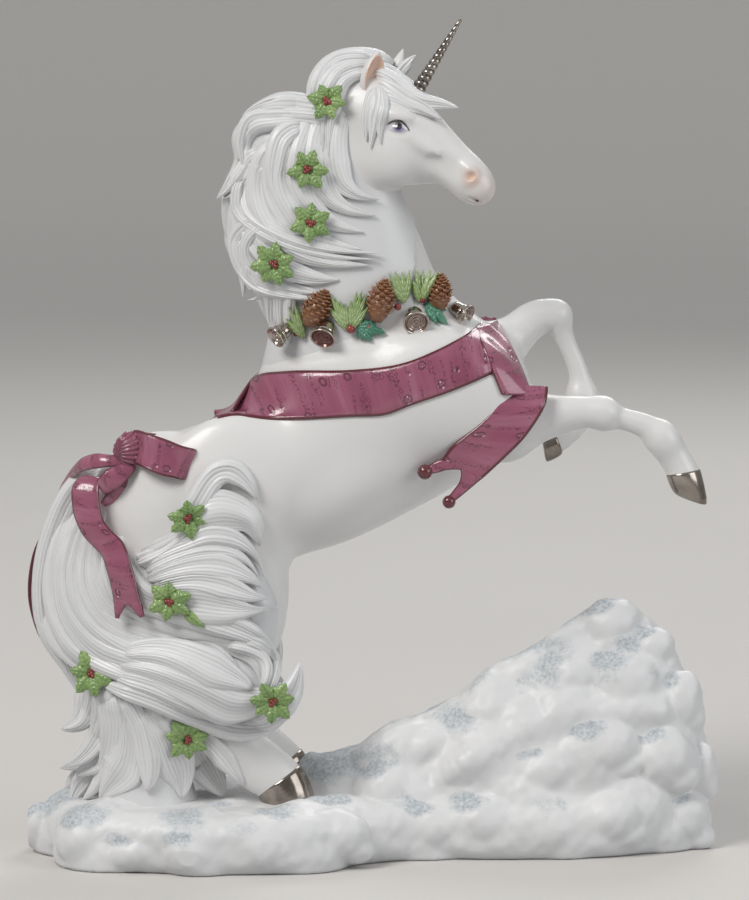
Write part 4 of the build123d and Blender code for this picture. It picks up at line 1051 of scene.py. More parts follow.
SKIRT = (
    ((86, 676), (88, 706), (80, 724), (62, 728)),
    ((100, 684), (98, 722), (86, 752), (61, 768)),
    ((106, 690), (118, 730), (110, 766), (84, 786), (74, 802)),
    ((118, 692), (136, 735), (138, 772), (124, 804)),
    ((132, 698), (154, 745), (162, 785), (156, 806)),
    ((150, 702), (180, 745), (198, 780), (204, 806)),
    ((168, 708), (206, 750), (234, 785), (248, 802)),
    ((186, 712), (226, 748), (248, 776), (254, 792)),
)
tail, tail_far, tail_curls, tail_edge = Heap(), Heap(), Heap(), Heap()
for i in range(len(OUTER_TAIL) - 1):
    comb(tail, OUTER_TAIL[i], OUTER_TAIL[i + 1], 2, 500 + i, lift=0.7 + 0.25 * i, end=0.4, thick=1.6)
    comb(tail_far, OUTER_TAIL[i], OUTER_TAIL[i + 1], 2, 540 + i, lift=0.7, side=1, end=0.4, thick=1.6)
for k, (rows, w) in enumerate((
    (((92, 676), (93, 700), (84, 720), (62, 728)), 6.4),
    (((100, 684), (104, 722), (90, 750), (60, 768)), 7.6),
    (((110, 694), (116, 738), (104, 774), (82, 801)), 8.6),
)):
    wisp(tail, rows, w, 1.8, 550 + k, end=0.6)
    wisp(tail_far, rows, w, 1.8, 555 + k, side=1, end=0.6)
for i in range(1, len(SKIRT) - 1):
    comb(tail, SKIRT[i], SKIRT[i + 1], 1, 560 + i, lift=0.6, end=0.35, thick=1.6)
    comb(tail_far, SKIRT[i], SKIRT[i + 1], 1, 580 + i, lift=0.6, side=1, end=0.35, thick=1.6)
for i, count in enumerate((1, 2, 2, 1)):
    comb(tail_curls, HAUNCH[i], HAUNCH[i + 1], count, 600 + i, lift=1.2 + 0.2 * i, end=0.4, thick=1.7)
comb(tail_curls, ((128, 556), (160, 545), (184, 520), (203, 490), (226, 466)),
     ((140, 566), (172, 548), (196, 524), (212, 494), (228, 467)), 2, 610, lift=1.4, thick=1.6)
for i, count in enumerate((2, 2)):
    comb(tail_curls, SWEEP[i], SWEEP[i + 1], count, 620 + i, lift=1.6, end=0.35, thick=1.8)
comb(tail_curls, ((236, 634), (262, 640), (279, 660), (274, 690), (256, 716)),
     ((222, 650), (246, 652), (262, 668), (258, 692), (246, 712)), 2, 630, lift=1.7, thick=1.8)
wisp(tail_curls, ((186, 524), (200, 497), (217, 474), (232, 471), (247, 482), (257, 500)), 6.4, 2.0, 612,
     lift=1.3, end=0.3)
wisp(tail_curls, ((240, 722), (264, 720), (281, 708), (292, 688), (299, 662)), 6.8, 2.2, 645, lift=1.5,
     end=0.3)
# Locks on the tail's rear edge: line, width, thickness and taper
REAR = (
    (((104, 466), (74, 490), (54, 530), (44, 580), (50, 632), (68, 668), (84, 700)), 6.0, 2.2, 0.3),
    (((88, 660), (84, 694), (78, 716), (62, 729)), 4.6, 2.0, 0.5),
    (((104, 700), (104, 734), (88, 760), (60, 768)), 4.8, 2.0, 0.5),
    (((106, 735), (92, 768), (78, 790), (70, 806)), 5.6, 2.2, 0.3),
)
for k, depth in enumerate((-0.14, -0.04, 0.06)):
    for n, (line, width, thick, end) in enumerate(REAR):
        wisp(tail_edge, [(*p, depth) for p in line], width, thick, 650 + 10 * n + k, end=end)
core = Heap()
# The form under the locks is darkened a little through the tone: painted shade
core.add(form_verts, form_faces, np.full(len(form_verts), 0.25))
for name, heap, nodes in (
    ("hair_core", core, ("tail_core",)), ("mane_right", mane, ("neck_strands", "mane_middle")),
    ("mane_left", mane_far, ("mane_lower",)), ("mane_top", crest, ("mane_crest",)),
    ("forelock_hair", fore, ("forelock",)), ("cheek_hair", cheek, ("cheek_lock",)),
    ("tail_right", tail, ("tail_skirt",)),
    ("tail_left", tail_far, ()), ("tail_swirls", tail_curls, ("tail_sweeps", "tail_curls")),
    ("tail_edge", tail_edge, ("tail_outer",)),
):
    heap.make(name, hair_white, "hair_white", nodes)

# Ears, horn, eyes and hooves
def leaf_chain(clay, stops, width, thick, facing, shift=0.0):
    """A leaf-shaped body along stops of (px, py, depth share, width share)."""
    rows = flow(np.array(stops) * [1, 1, HALF_DEPTH, 1], 26)
    points = place(rows[:, 0], rows[:, 1], rows[:, 2]) + facing * shift
    along = unit(np.gradient(points, axis=0))
    out = unit(facing - along * (along @ facing)[:, None])
    half = np.maximum(rows[:, 3], 0.04) * width / 2
    clay.chain(points, np.cross(along, out), out, half, half * thick / width, 0.3, reach=2.0)


EARS = {
    "right_ear": (((374, 106, -0.18, 0.62), (370, 94, -0.19, 0.86), (371, 80, -0.20, 1.0),
                   (375, 66, -0.20, 0.86), (378, 51, -0.20, 0.10)), (0.50, -1.0, 0.22)),
    "left_ear": (((392, 86, 0.06, 0.70), (395, 74, 0.08, 0.90), (399, 62, 0.09, 0.66), (403, 49, 0.10, 0.06)),
                 (0.8, 0.3, 0.2)),
}
for name, (stops, opening) in EARS.items():
    opening = unit(np.array(opening))
    middle = place(*stops[2][:2], stops[2][2] * HALF_DEPTH)
    ear, cup = [Clay(middle - [6, 6, 9], middle + [6, 6, 9], 0.17) for _ in range(2)]
    leaf_chain(ear, stops, 5.6, 4.4, opening)
    px, py, depth, _ = stops[-1]
    inner = [(x + 0.6, y * 0.93 + 5.2, d, w) for x, y, d, w in stops[1:-1]]
    inner.append((px - 0.4, py + 4.5, depth, 0.12))
    leaf_chain(cup, inner, 4.1, 3.4, opening, 1.35)
    ear.d = np.maximum(ear.d, -cup.d)
    verts, faces = ear.skin()
    i = np.clip(np.round((verts - cup.low) / cup.step).astype(int), 0, np.array(cup.shape) - 1)
    blush = np.clip(1.3 - cup.d[tuple(i.T)] / 0.45, 0, 1)
    make(name + "_cupped", verts, faces, ear_white, (name,), tone=blush)

# The horn: tapered, of two strands wound about each other
HORN_TURNS, HORN_ROWS, HORN_AROUND = 15.5, 300, 44
root, tip = place(409, 104, -0.14 * HALF_DEPTH), place(461, 19, -0.12 * HALF_DEPTH)
axis = unit(tip - root)
u = unit(np.cross(axis, SIDE))
v = np.cross(axis, u)
s, phi = np.linspace(0, 1, HORN_ROWS)[:, None], circle(HORN_AROUND)
ridge = np.abs(np.sin(math.pi * (s * HORN_TURNS - phi / (2 * math.pi)))) ** 0.75
r = (2.15 - 1.72 * s**0.92) * (0.80 + 0.24 * ridge) * np.sqrt(np.clip((1.0005 - s) / 0.02, 0.02, 1))
verts = root + (tip - root) * s[:, :, None] + u * (r * np.cos(phi))[:, :, None]
verts = verts + v * (r * np.sin(phi))[:, :, None]
# The tone is high in the grooves between the strands: painted shade
make("horn_spiral", verts.reshape(-1, 3), tube_faces(HORN_ROWS, HORN_AROUND), platinum,
     ("horn",), tone=(1 - ridge).ravel())


def eye_material():
    """Painted eye: a white with a violet shade below, a dark iris, and a painted highlight."""
    s = Shade("eye")
    uv = s.node("SeparateXYZ", {"Vector": s.node("TexCoord").outputs["UV"]})

    def squared(axis, middle, radius):
        way = s.math("DIVIDE", s.math("SUBTRACT", uv.outputs[axis], middle), radius)
        return s.math("POWER", s.math("ABSOLUTE", way), 2.0)

    colour = s.ramp(s.noise(300.0), (0.3, (0.72, 0.71, 0.74)), (0.7, (0.78, 0.77, 0.78)))
    for cx, cy, rx, ry, soft, paint in (
        (0.02, -0.42, 0.62, 0.52, 0.7, (0.33, 0.27, 0.52)),
        (0.0, 0.12, 0.36, 0.74, 0.3, (0.055, 0.04, 0.075)),
        (-0.02, 0.30, 0.22, 0.46, 0.25, (0.006, 0.005, 0.006)),
        # The last disc, small and pale, is a painted highlight
        (-0.10, 0.42, 0.06, 0.13, 0.4, (0.85, 0.87, 0.9)),
    ):
        away = s.math("ADD", squared("X", cx, rx), squared("Y", cy, ry))
        disc = s.math("DIVIDE", s.math("SUBTRACT", 1.0, away), soft, True)
        colour = s.mix(disc, colour, paint)
    s.set(Base_Color=colour, Roughness=0.12, Coat_Weight=1.0, Coat_Roughness=0.03)
    return s.material


# Each eye is an almond between two lid lines, laid on the eyeball that the head already has
EYE_COLS, EYE_ROWS = 41, 25
painted, lids = Heap(), Heap()
u, v = np.meshgrid(np.linspace(-1, 1, EYE_COLS), np.linspace(-1, 1, EYE_ROWS), indexing="ij")
upper = 120.4 + 5.0 * np.abs(u + 0.12) ** 2.0 + 7.0 * np.clip(u - 0.3, 0, 1) ** 1.3
lower = 132.6 - 3.4 * np.abs(u) ** 2.2
x, y = 398.5 + u * 11.0, upper * (1 + v) / 2 + lower * (1 - v) / 2
flat = np.stack([on_head(a, b, 7.0) for a, b in zip(x.ravel(), y.ravel())])
hits, normals = cast([head_tree], flat)
hits, normals = np.where(np.isnan(hits), flat, hits), np.where(np.isnan(normals), RIGHT, normals)
bulge = ((1 - np.abs(u) ** 4) * (1 - np.abs(v) ** 4)).ravel() ** 0.5
eye_verts = hits + normals * (-0.12 + 0.34 * bulge)[:, None]
lid_line = (hits + normals * 0.12).reshape(EYE_COLS, EYE_ROWS, 3)[:, -1]
a = np.arange((EYE_COLS - 1) * EYE_ROWS).reshape(-1, EYE_ROWS)[:, :-1].ravel()
cells = np.stack([a, a + EYE_ROWS, a + EYE_ROWS + 1, a + 1], -1)
phi, lid = circle(10), 0.30 * np.sin(np.linspace(0.12, math.pi - 0.12, EYE_COLS)) ** 0.6
for verts, line in ((eye_verts, lid_line), (head_mirror(eye_verts), head_mirror(lid_line))):
    painted.add(verts, cells, uv=np.stack([u.ravel(), v.ravel()], -1))
    along = unit(np.gradient(line, axis=0))
    a = unit(np.cross(along, RIGHT))
    b = np.cross(along, a)
    ring = a[:, None] * np.cos(phi)[None, :, None] + b[:, None] * np.sin(phi)[None, :, None]
    lids.add((line[:, None] + lid[:, None, None] * ring).reshape(-1, 3), tube_faces(EYE_COLS, len(phi)))
painted.make("eyes", eye_material(), "porcelain_white")
lash = Shade("lash")
lash.set(Base_Color=lash.ramp(lash.noise(500.0), (0.3, (0.03, 0.025, 0.03)), (0.7, (0.07, 0.055, 0.06))),
         Roughness=0.3)
lids.make("lid_lines", lash.material, "porcelain_white")

HOOVES = {
    "right_fore_hoof": ((700, 469, 666, 475, -0.28, 0.96), (704, 484, 671, 486, -0.28, 0.97),
                        (707, 504, 680, 495, -0.28, 0.98)),
    "left_fore_hoof": ((562, 453, 553, 429, 0.33, 0.95), (556, 458, 548, 432, 0.33, 0.95),
                       (547, 462, 543, 437, 0.33, 0.95)),
    "right_hind_hoof": ((257, 793, 300, 765, -0.30, 0.84), (261, 803, 310, 782, -0.30, 0.86),
                        (264, 818, 316, 808, -0.30, 0.88)),
}


def hoof(name, node, stations, far=False, level=None):
    """A hoof cut square at its crown, and at its sole, or at a level where it stands on the snow."""
    high, low, share = edges(in_mm(stations), 12)
    turn = side_turn(1 if far else -1)
    high, low = high * turn, low * turn
    middle, ups = (high + low) / 2, unit(high - low)
    clay = Clay(middle.min(0) - 9, middle.max(0) + 9, 0.24)
    swept(clay, high, low, share, 0.0, reach=3.0)
    x, y, z = np.meshgrid(*clay.grid(), indexing="ij")
    for end in (0, -1) if level is None else (0,):
        at, way = middle[end], unit(np.cross(ups[end], SIDE))
        way = way * np.sign(way @ (at - middle[6]))
        plane = (x - at[0]) * way[0] + (y - at[1]) * way[1] + (z - at[2]) * way[2]
        clay.d = -smooth_min(-clay.d, -(plane - 0.35).astype(np.float32), 0.8)
    if level is not None:
        clay.d = np.maximum(clay.d, (level - z).astype(np.float32))
    verts, faces = clay.skin()
    make(name, verts, faces, platinum, (node,), tone=np.zeros(len(verts)))


SNOW_LEVEL = 13.5
hoof("hoof_right_fore", "right_fore_hoof", HOOVES["right_fore_hoof"])
hoof("hoof_left_fore", "left_fore_hoof", HOOVES["left_fore_hoof"])
hoof("hoof_right_hind", "right_hind_hoof", HOOVES["right_hind_hoof"], level=SNOW_LEVEL)
hoof("hoof_left_hind", "left_hind_hoof", HOOVES["right_hind_hoof"], far=True, level=SNOW_LEVEL)


# Ribbons
def ribbon_material():
    """Rose ribbon with burgundy edges and a scatter of small pressed rings and strokes."""
    s = Shade("ribbon")
    uv = s.node("TexCoord").outputs["UV"]
    across = s.node("SeparateXYZ", {"Vector": uv}).outputs["Y"]
    edge = s.math("DIVIDE", s.math("SUBTRACT", s.math("ABSOLUTE", across), 0.86), 0.06, True)
    cloud = s.noise(0.16, 4.0, 0.55, uv)
    rose = s.ramp(cloud, (0.28, (0.26, 0.060, 0.11)), (0.55, (0.36, 0.105, 0.175)),
                  (0.80, (0.47, 0.21, 0.29)))
    where = s.node("Mapping", {"Vector": uv, "Scale": (1.0, 5.0, 1.0)}).outputs[0]

    def near(value, reach):
        """One where a value is nought, fading to nought at its reach."""
        return s.math("SUBTRACT", 1.0, s.math("DIVIDE", value, reach, True), True)

    far = s.node("TexVoronoi", {"Vector": where, "Scale": 0.22, "Randomness": 0.8}).outputs["Distance"]
    ring, dot = near(s.math("ABSOLUTE", s.math("SUBTRACT", far, 0.20)), 0.07), near(far, 0.09)
    fine = s.node("TexVoronoi", {"Vector": where, "Scale": 1.15, "Randomness": 1.0},
                  feature="DISTANCE_TO_EDGE")
    patch = s.math("GREATER_THAN", s.noise(0.45, 2.0, 0.5, uv), 0.56)
    stroke = s.math("MULTIPLY", near(fine.outputs["Distance"], 0.05), patch)
    mark = s.math("MAXIMUM", s.math("MAXIMUM", ring, dot), stroke)
    mark = s.math("MULTIPLY", mark, s.math("SUBTRACT", 1.0, edge, True))
    colour = s.mix(s.math("MULTIPLY", mark, 0.85), rose, (0.10, 0.018, 0.035))
    colour = s.mix(edge, colour, (0.13, 0.02, 0.03))
    s.set(Base_Color=colour, Roughness=0.2, Coat_Weight=0.6, Coat_Roughness=0.06, IOR=1.5)
    s.bump(s.math("SUBTRACT", s.math("MULTIPLY", edge, 0.8), mark), 0.7, 0.00035)
    return s.material


ribbon_rose = ribbon_material()


def grid_normals(surface):
    return unit(np.cross(np.gradient(surface, axis=0), np.gradient(surface, axis=1)))


def sheet(heap, surface, normals, thick):
    """A closed slab of ribbon from a grid of points, with rounded long edges.

    Its UV is the length along the ribbon in mm, and -1 to 1 across it.
    """
    rows, cols = surface.shape[:2]
    v = np.linspace(-1, 1, cols)
    half = normals * thick / 2 * (0.35 + 0.65 * np.sqrt(np.clip(1 - np.abs(v) ** 6, 0, 1)))[None, :, None]
    verts = np.concatenate([(surface + half).reshape(-1, 3), (surface - half).reshape(-1, 3)])
    run = np.concatenate([[0.0], np.cumsum(np.linalg.norm(np.diff(surface.mean(1), axis=0), axis=1))])
    uv = np.stack(np.meshgrid(run, v, indexing="ij"), -1).reshape(-1, 2)
    heap.add(verts, slab_faces(rows, cols), uv=np.concatenate([uv, uv]))


def free_ribbon(heap, stations, thick, count, across, curl):
    """A folded ribbon. A station is (one edge px, other edge px, depth share at each)."""
    rows = flow(stations, count, by=4)
    f = np.linspace(0, 1, across)
    a = place(rows[:, 0], rows[:, 1], rows[:, 4] * HALF_DEPTH)
    b = place(rows[:, 2], rows[:, 3], rows[:, 5] * HALF_DEPTH)
    surface = a[:, None] * (1 - f)[None, :, None] + b[:, None] * f[None, :, None]
    surface = surface + grid_normals(surface) * (curl * (1 - (2 * f - 1) ** 2))[None, :, None]
    sheet(heap, surface, grid_normals(surface), thick)


def laid_ribbon(heap, top, bottom, side, count, rise, thick=1.2, across=15):
    """A ribbon laid on the casting between two lines of pixels."""
    a, b = flow(top, count), flow(bottom, count)
    f = np.linspace(0, 1, across)
    px, py = [(a[:, None, k] * (1 - f) + b[:, None, k] * f).ravel() for k in (0, 1)]
    hits, _ = cast([trunk_tree], place(px, py), side)
    depth = hits[:, 1].reshape(count, across)
    for row in depth.T:
        good = ~np.isnan(row)
        if good.any():
            row[~good] = np.interp(np.nonzero(~good)[0], np.nonzero(good)[0], row[good])
    for _ in range(3):
        pad = np.pad(depth, ((1, 1), (1, 1)), mode="edge")
        depth = (pad[:-2, 1:-1] + pad[2:, 1:-1] + pad[1:-1, :-2] + pad[1:-1, 2:] + 2 * depth) / 6
    surface = place(px, py, -side * depth.ravel()).reshape(count, across, 3) * side_turn(side)
    normals = grid_normals(surface)
    normals *= np.sign((normals[:, :, 1] * side).sum() or 1.0)
    sheet(heap, surface + normals * rise, normals, thick)


BAND_TOP = ((214, 411), (232, 407), (243, 392), (257, 376), (287, 371), (350, 370), (400, 364), (437, 350),
            (468, 333), (481, 322))
BAND_BOTTOM = ((218, 419), (237, 416), (250, 418), (266, 420), (300, 420), (350, 417), (385, 415),
               (412, 405), (450, 392), (492, 374))
STRAP_LEFT = ((474, 330), (480, 346), (487, 362), (501, 395))
STRAP_RIGHT = ((497, 323), (506, 339), (517, 362), (531, 396))
band, strap, drape = Heap(), Heap(), Heap()
for side in (-1, 1):
    laid_ribbon(band, BAND_TOP, BAND_BOTTOM, side, 110, 0.25)
    laid_ribbon(strap, STRAP_LEFT, STRAP_RIGHT, side, 40, 0.55)
band.make("sash_over_back", ribbon_rose, "rose_ribbon", ("sash_band",))
strap.make("sash_over_chest", ribbon_rose, "rose_ribbon", ("sash_chest_strap",))


def balls(heap, places, radius):
    """Small rounds of clay, on the ribbon's tips or for berries."""
    theta, phi = np.linspace(0, math.pi, 14)[:, None], circle(20)
    shell = np.stack([np.sin(theta) * np.cos(phi), np.sin(theta) * np.sin(phi), np.cos(theta) + 0 * phi], -1)
    shell[[0, -1], :, :2] = np.stack([np.cos(phi), np.sin(phi)], -1) * 0.02
    for centre, r in zip(places, np.broadcast_to(radius, len(places))):
        heap.add(centre + shell.reshape(-1, 3) * r, tube_faces(14, 20), uv=np.tile([0.0, 0.95], (14 * 20, 1)))


free_ribbon(drape, (
    (548, 387, 499, 384, -0.44, -0.43), (546, 403, 496, 402, -0.51, -0.50),
    (541, 414, 488, 415, -0.53, -0.52), (532, 428, 478, 425, -0.53, -0.52),
    (521, 442, 464, 436, -0.54, -0.51), (508, 455, 452, 446, -0.53, -0.50),
    (492, 470, 444, 456, -0.51, -0.48), (482, 479, 440, 461, -0.50, -0.47),
), 1.3, 60, 13, 0.5)
free_ribbon(drape, ((462, 470, 441, 459, -0.485, -0.47), (448, 470, 434, 462, -0.475, -0.465),
                    (436, 473, 428, 466, -0.465, -0.46), (428, 474, 423, 469, -0.46, -0.46)), 1.3, 24, 9, 0.2)
free_ribbon(drape, ((483, 478, 460, 468, -0.50, -0.485), (472, 487, 460, 480, -0.49, -0.48),
                    (460, 497, 453, 491, -0.48, -0.475), (451, 504, 446, 499, -0.47, -0.47)), 1.3, 24, 9, 0.2)
balls(drape, [place(425, 472, -0.46 * HALF_DEPTH), place(449, 502, -0.47 * HALF_DEPTH)], [1.9, 1.65])
drape.make("sash_fall", ribbon_rose, "rose_ribbon", ("sash_drape",))

# Bow at the croup
BOW = {
    "bow_box_loop": ("bow_right_loop", (
        ((127, 436, 126, 462, -0.30, -0.34), (135, 430, 136, 464, -0.42, -0.46),
         (150, 434, 146, 469, -0.50, -0.53), (168, 440, 160, 475, -0.53, -0.56),
         (183, 446, 174, 478, -0.53, -0.55), (195, 449, 184, 480, -0.49, -0.51),
         (197, 450, 189, 478, -0.42, -0.45), (186, 445, 180, 470, -0.36, -0.38),
         (160, 438, 156, 462, -0.30, -0.32), (138, 434, 136, 458, -0.28, -0.30)),
        ((134, 432, 140, 446, -0.34, -0.34), (150, 433, 154, 444, -0.30, -0.30),
         (164, 435, 166, 441, -0.28, -0.28), (177, 435, 177, 438, -0.27, -0.27)),
    )),
    "bow_flat_loop": ("bow_left_loop", (
        ((124, 457, 122, 466, -0.40, -0.42), (108, 455, 108, 467, -0.40, -0.44),
         (95, 454, 94, 469, -0.36, -0.40), (84, 458, 82, 472, -0.28, -0.32),
         (76, 466, 76, 476, -0.16, -0.22), (68, 478, 69, 484, -0.02, -0.08), (62, 490, 64, 492, 0.08, 0.02)),
    )),
    "bow_fall": ("bow_right_tail", (
        ((128, 463, 136, 468, -0.42, -0.42), (114, 466, 129, 478, -0.45, -0.45),
         (103, 473, 117, 489, -0.47, -0.46), (97, 482, 105, 494, -0.45, -0.44)),
        ((132, 474, 137, 476, -0.36, -0.36), (118, 482, 135, 487, -0.40, -0.38),
         (106, 494, 118, 500, -0.41, -0.39), (101, 502, 105, 505, -0.40, -0.39)),
        ((81, 477, 101, 479, -0.38, -0.43), (73, 486, 99, 490, -0.42, -0.48),
         (72, 502, 100, 508, -0.45, -0.51), (75, 518, 104, 521, -0.47, -0.53),
         (83, 535, 113, 532, -0.49, -0.55), (94, 547, 123, 542, -0.51, -0.57),
         (102, 556, 129, 557, -0.53, -0.60), (107, 571, 134, 574, -0.55, -0.62),
         (112, 590, 139, 595, -0.56, -0.63), (114, 603, 142, 606, -0.56, -0.635)),
        ((114, 602, 129, 602, -0.56, -0.60), (115, 610, 124, 609, -0.56, -0.59),
         (117, 618, 119, 617, -0.56, -0.57)),
        ((128, 602, 142, 604, -0.60, -0.635), (133, 609, 143.5, 610, -0.61, -0.635),
         (141, 616, 144.5, 616, -0.62, -0.63)),
    )),
    "bow_far_fall": ("bow_left_tail", (
        ((88, 482, 92, 488, 0.00, 0.16), (70, 496, 74, 502, 0.00, 0.22), (53, 514, 58, 520, 0.00, 0.26),
         (43, 532, 48, 537, 0.00, 0.28), (34, 552, 40, 555, 0.01, 0.29), (29, 578, 37, 580, 0.02, 0.30),
         (29, 600, 38, 600, 0.03, 0.30), (34, 622, 42, 620, 0.04, 0.29), (40, 637, 44.5, 635, 0.05, 0.27)),
    )),
}
for name, (node, strips) in BOW.items():
    heap = Heap()
    for stations in strips:
        free_ribbon(heap, stations, 1.1, 70, 11, 0.25 if name == "bow_fall" else 0.5)
    heap.make(name, ribbon_rose, "rose_ribbon", (node,))

# The gathered knot: a plump oval with creases that run round it
clay = Clay(place(129, 450, -17) - 7, place(129, 450, -17) + 7, 0.24)
centre = place(130, 449, -0.40 * HALF_DEPTH)
clay.blob(centre, (4.0, 3.4, 4.6), 0.1, -25)
verts, faces = clay.skin()
q = verts - centre
crease = np.sin(np.arctan2(q[:, 2] - 0.2 * q[:, 0], q[:, 0] + 5.5) * 34 + 0.6 * np.sin(q[:, 1]))
knot = Heap()
knot.add(verts + unit(q) * (0.20 * crease)[:, None], faces,
         uv=np.stack([q[:, 0] * 1.5, 0.55 - 0.42 * crease], -1))
knot.make("bow_knot_gathered", ribbon_rose, "rose_ribbon", ("bow_knot",))

# Garland and leaves
locks = (mane, tail, tail_curls, crest)
hair_tree = [trunk_tree, form_tree] + [tree(np.concatenate(h.verts), h.faces) for h in locks]


def seat(px, py, lean):
    """Point on what lies under a pixel, with axes: right, up and out."""
    (point,), (normal,) = cast(hair_tree, place(px, py)[None])
    if np.isnan(point[0]):
        point, normal = place(px, py, -12.0), -SIDE
    if normal @ -SIDE < 0:
        normal = -normal
    out = unit(normal * (1 - lean) - SIDE * lean)
    right = unit(np.cross(UP, out))
    return point, right, np.cross(out, right), out


def frame_turn(axes, degrees):
    point, right, up, out = axes
    c, s = math.cos(math.radians(degrees)), math.sin(math.radians(degrees))
    return point, right * c + up * s, up * c - right * s, out


def leaf(heap, base, right, up, out, length, width, lobes=0, arch=0.5, thick=0.55, tone=0.0):
    """A leaf from its base along up: a plump blade with a midrib, side veins and a pointed tip."""
    rows, cols = 33, 17
    s, f = np.linspace(0, 1, rows)[:, None], np.linspace(-1, 1, cols)
    away = np.abs(f)
    shape = np.sin(math.pi * s**0.8) ** 0.8 * (1 - 0.25 * s)
    if lobes:
        shape = shape * (1 + 0.42 * np.abs(np.sin(math.pi * lobes * s)) ** 0.8 - 0.25)
    half = width / 2 * np.maximum(shape, 0.03)
    vein = 0.5 + 0.5 * np.cos(2 * math.pi * (s * 5.5 - away * 0.9))
    z = arch * length * 0.25 * np.sin(math.pi * s) - 0.35 * away**1.6 * half + thick * (1 - away**3) * 0.5
    z = z + 0.16 * vein * (1 - away**4) - 0.22 * np.exp(-(f / 0.13) ** 2) * (s < 0.93)
    top = base + up * (length * s)[:, :, None] + right * (half * f)[:, :, None] + out * z[:, :, None]
    low = top - out * (thick * (1.05 - 0.7 * away**2))[:, None]
    # Darker along the midrib's groove, between the raised veins and on the underside: painted shade; the tone
    # given shifts each leaf's colour at random
    dark = np.clip(0.55 * np.exp(-(f / 0.2) ** 2) + 0.45 * (1 - vein) * (0.4 + 0.6 * away), 0, 1) * 0.8 + tone
    heap.add(np.concatenate([top.reshape(-1, 3), low.reshape(-1, 3)]), slab_faces(rows, cols),
             np.concatenate([dark.ravel(), np.full(rows * cols, 0.8)]))


def blade(heap, base, tip, facing, width, **shape):
    """A leaf from one point as far as another, facing a way."""
    way = tip - base
    length = np.linalg.norm(way)
    way = way / length
    across = unit(np.cross(facing, way))
    leaf(heap, base, across, way, unit(np.cross(way, across)), length, width, **shape)


def leafy(name, low, high, dark, roughness=0.3, scale=140.0):
    s = Shade(name)
    colour = s.ramp(s.noise(scale, 4.0, 0.6), (0.3, low), (0.7, high))
    # The dark colour lies where the tone is high: painted shade on the leaves and the cones
    s.set(Base_Color=s.mix(s.math("MULTIPLY", s.tone(), 0.85, True), colour, dark), Roughness=roughness,
          Coat_Weight=0.35, Coat_Roughness=0.15)
    s.bump(s.noise(900.0, 3.0), 0.3, 0.0002)
    return s.material


leaf_green = leafy("leaf_green", (0.20, 0.34, 0.10), (0.36, 0.50, 0.19), (0.09, 0.18, 0.045))
holly_green = leafy("holly_green", (0.055, 0.22, 0.14), (0.13, 0.35, 0.24), (0.02, 0.09, 0.06))
pine_green = leafy("pine_green", (0.30, 0.42, 0.15), (0.47, 0.58, 0.30), (0.14, 0.24, 0.07))
cone_brown = leafy("cone_brown", (0.31, 0.13, 0.055), (0.48, 0.24, 0.12), (0.12, 0.04, 0.02))
berry_red = leafy("berry_red", (0.20, 0.02, 0.02), (0.33, 0.055, 0.045), (0.1, 0.01, 0.01), 0.18)


def clusters(name, node, places, seed):
    """Leaf rosettes with berries: pixel, leaves, size, and further leaves as (turn, length)."""
    leaves, berries = Heap(), Heap()
    rng = np.random.default_rng(seed)
    for px, py, count, size, extra in places:
        axes = seat(px, py, 0.7)
        first = rng.uniform(0, 360)
        for k in range(count):
            point, right, up, out = frame_turn(axes, first + 360 * k / count + rng.uniform(-9, 9))
            long = size * rng.uniform(0.88, 1.08)
            leaf(leaves, point + up * 0.4 + out * (0.7 + 0.12 * k), right, unit(up + out * 0.12), out,
                 long, long * 0.80, lobes=3, arch=0.6, tone=rng.uniform(-0.1, 0.15))
        for turn, long in extra:
            point, right, up, out = frame_turn(axes, turn)
            leaf(leaves, point + up * size * 0.75 + out * 0.6, right, unit(up + out * 0.05), out, long, 3.0,
                 arch=0.5)
        for k in range(4):
            point, right, up, out = frame_turn(axes, first + 90 * k)
            balls(berries, [point + out * 1.75 + up * (0.72 if k else 0.0)], 0.55 + 0.1 * rng.uniform())
    leaves.make(name + "_leaves", leaf_green, "leaf_green", (node,))
    berries.make(name + "_berries", berry_red, "berry_red")


clusters("mane", "mane_leaf_clusters",
         ((329, 101, 6, 4.7, ()), (308, 170, 6, 4.9, ()), (310, 223, 6, 5.0, ()), (274, 264, 7, 5.3, ())), 31)
clusters("tail", "tail_leaf_clusters",
         ((188, 517, 6, 4.9, ((-140, 3.8),)), (170, 600, 6, 5.2, ((232, 7.0),)), (93, 673, 7, 5.8, ()),
          (186, 738, 7, 5.4, ()), (272, 701, 7, 5.4, ())), 37)


def turned(heap, profile, origin, axis, around, tone):
    """A profile of (radius, height) turned about an axis, with a tone for each of its rows."""
    u = unit(np.cross(axis, [0.3, 1.0, 0.2]))
    v = np.cross(axis, u)
    phi = circle(around)[:, None]
    ring = u * np.cos(phi) + v * np.sin(phi)
    verts = [origin + axis * h + ring * max(r, 0.02) for r, h in profile]
    heap.add(np.concatenate(verts), tube_faces(len(profile), around), np.repeat(tone, around))


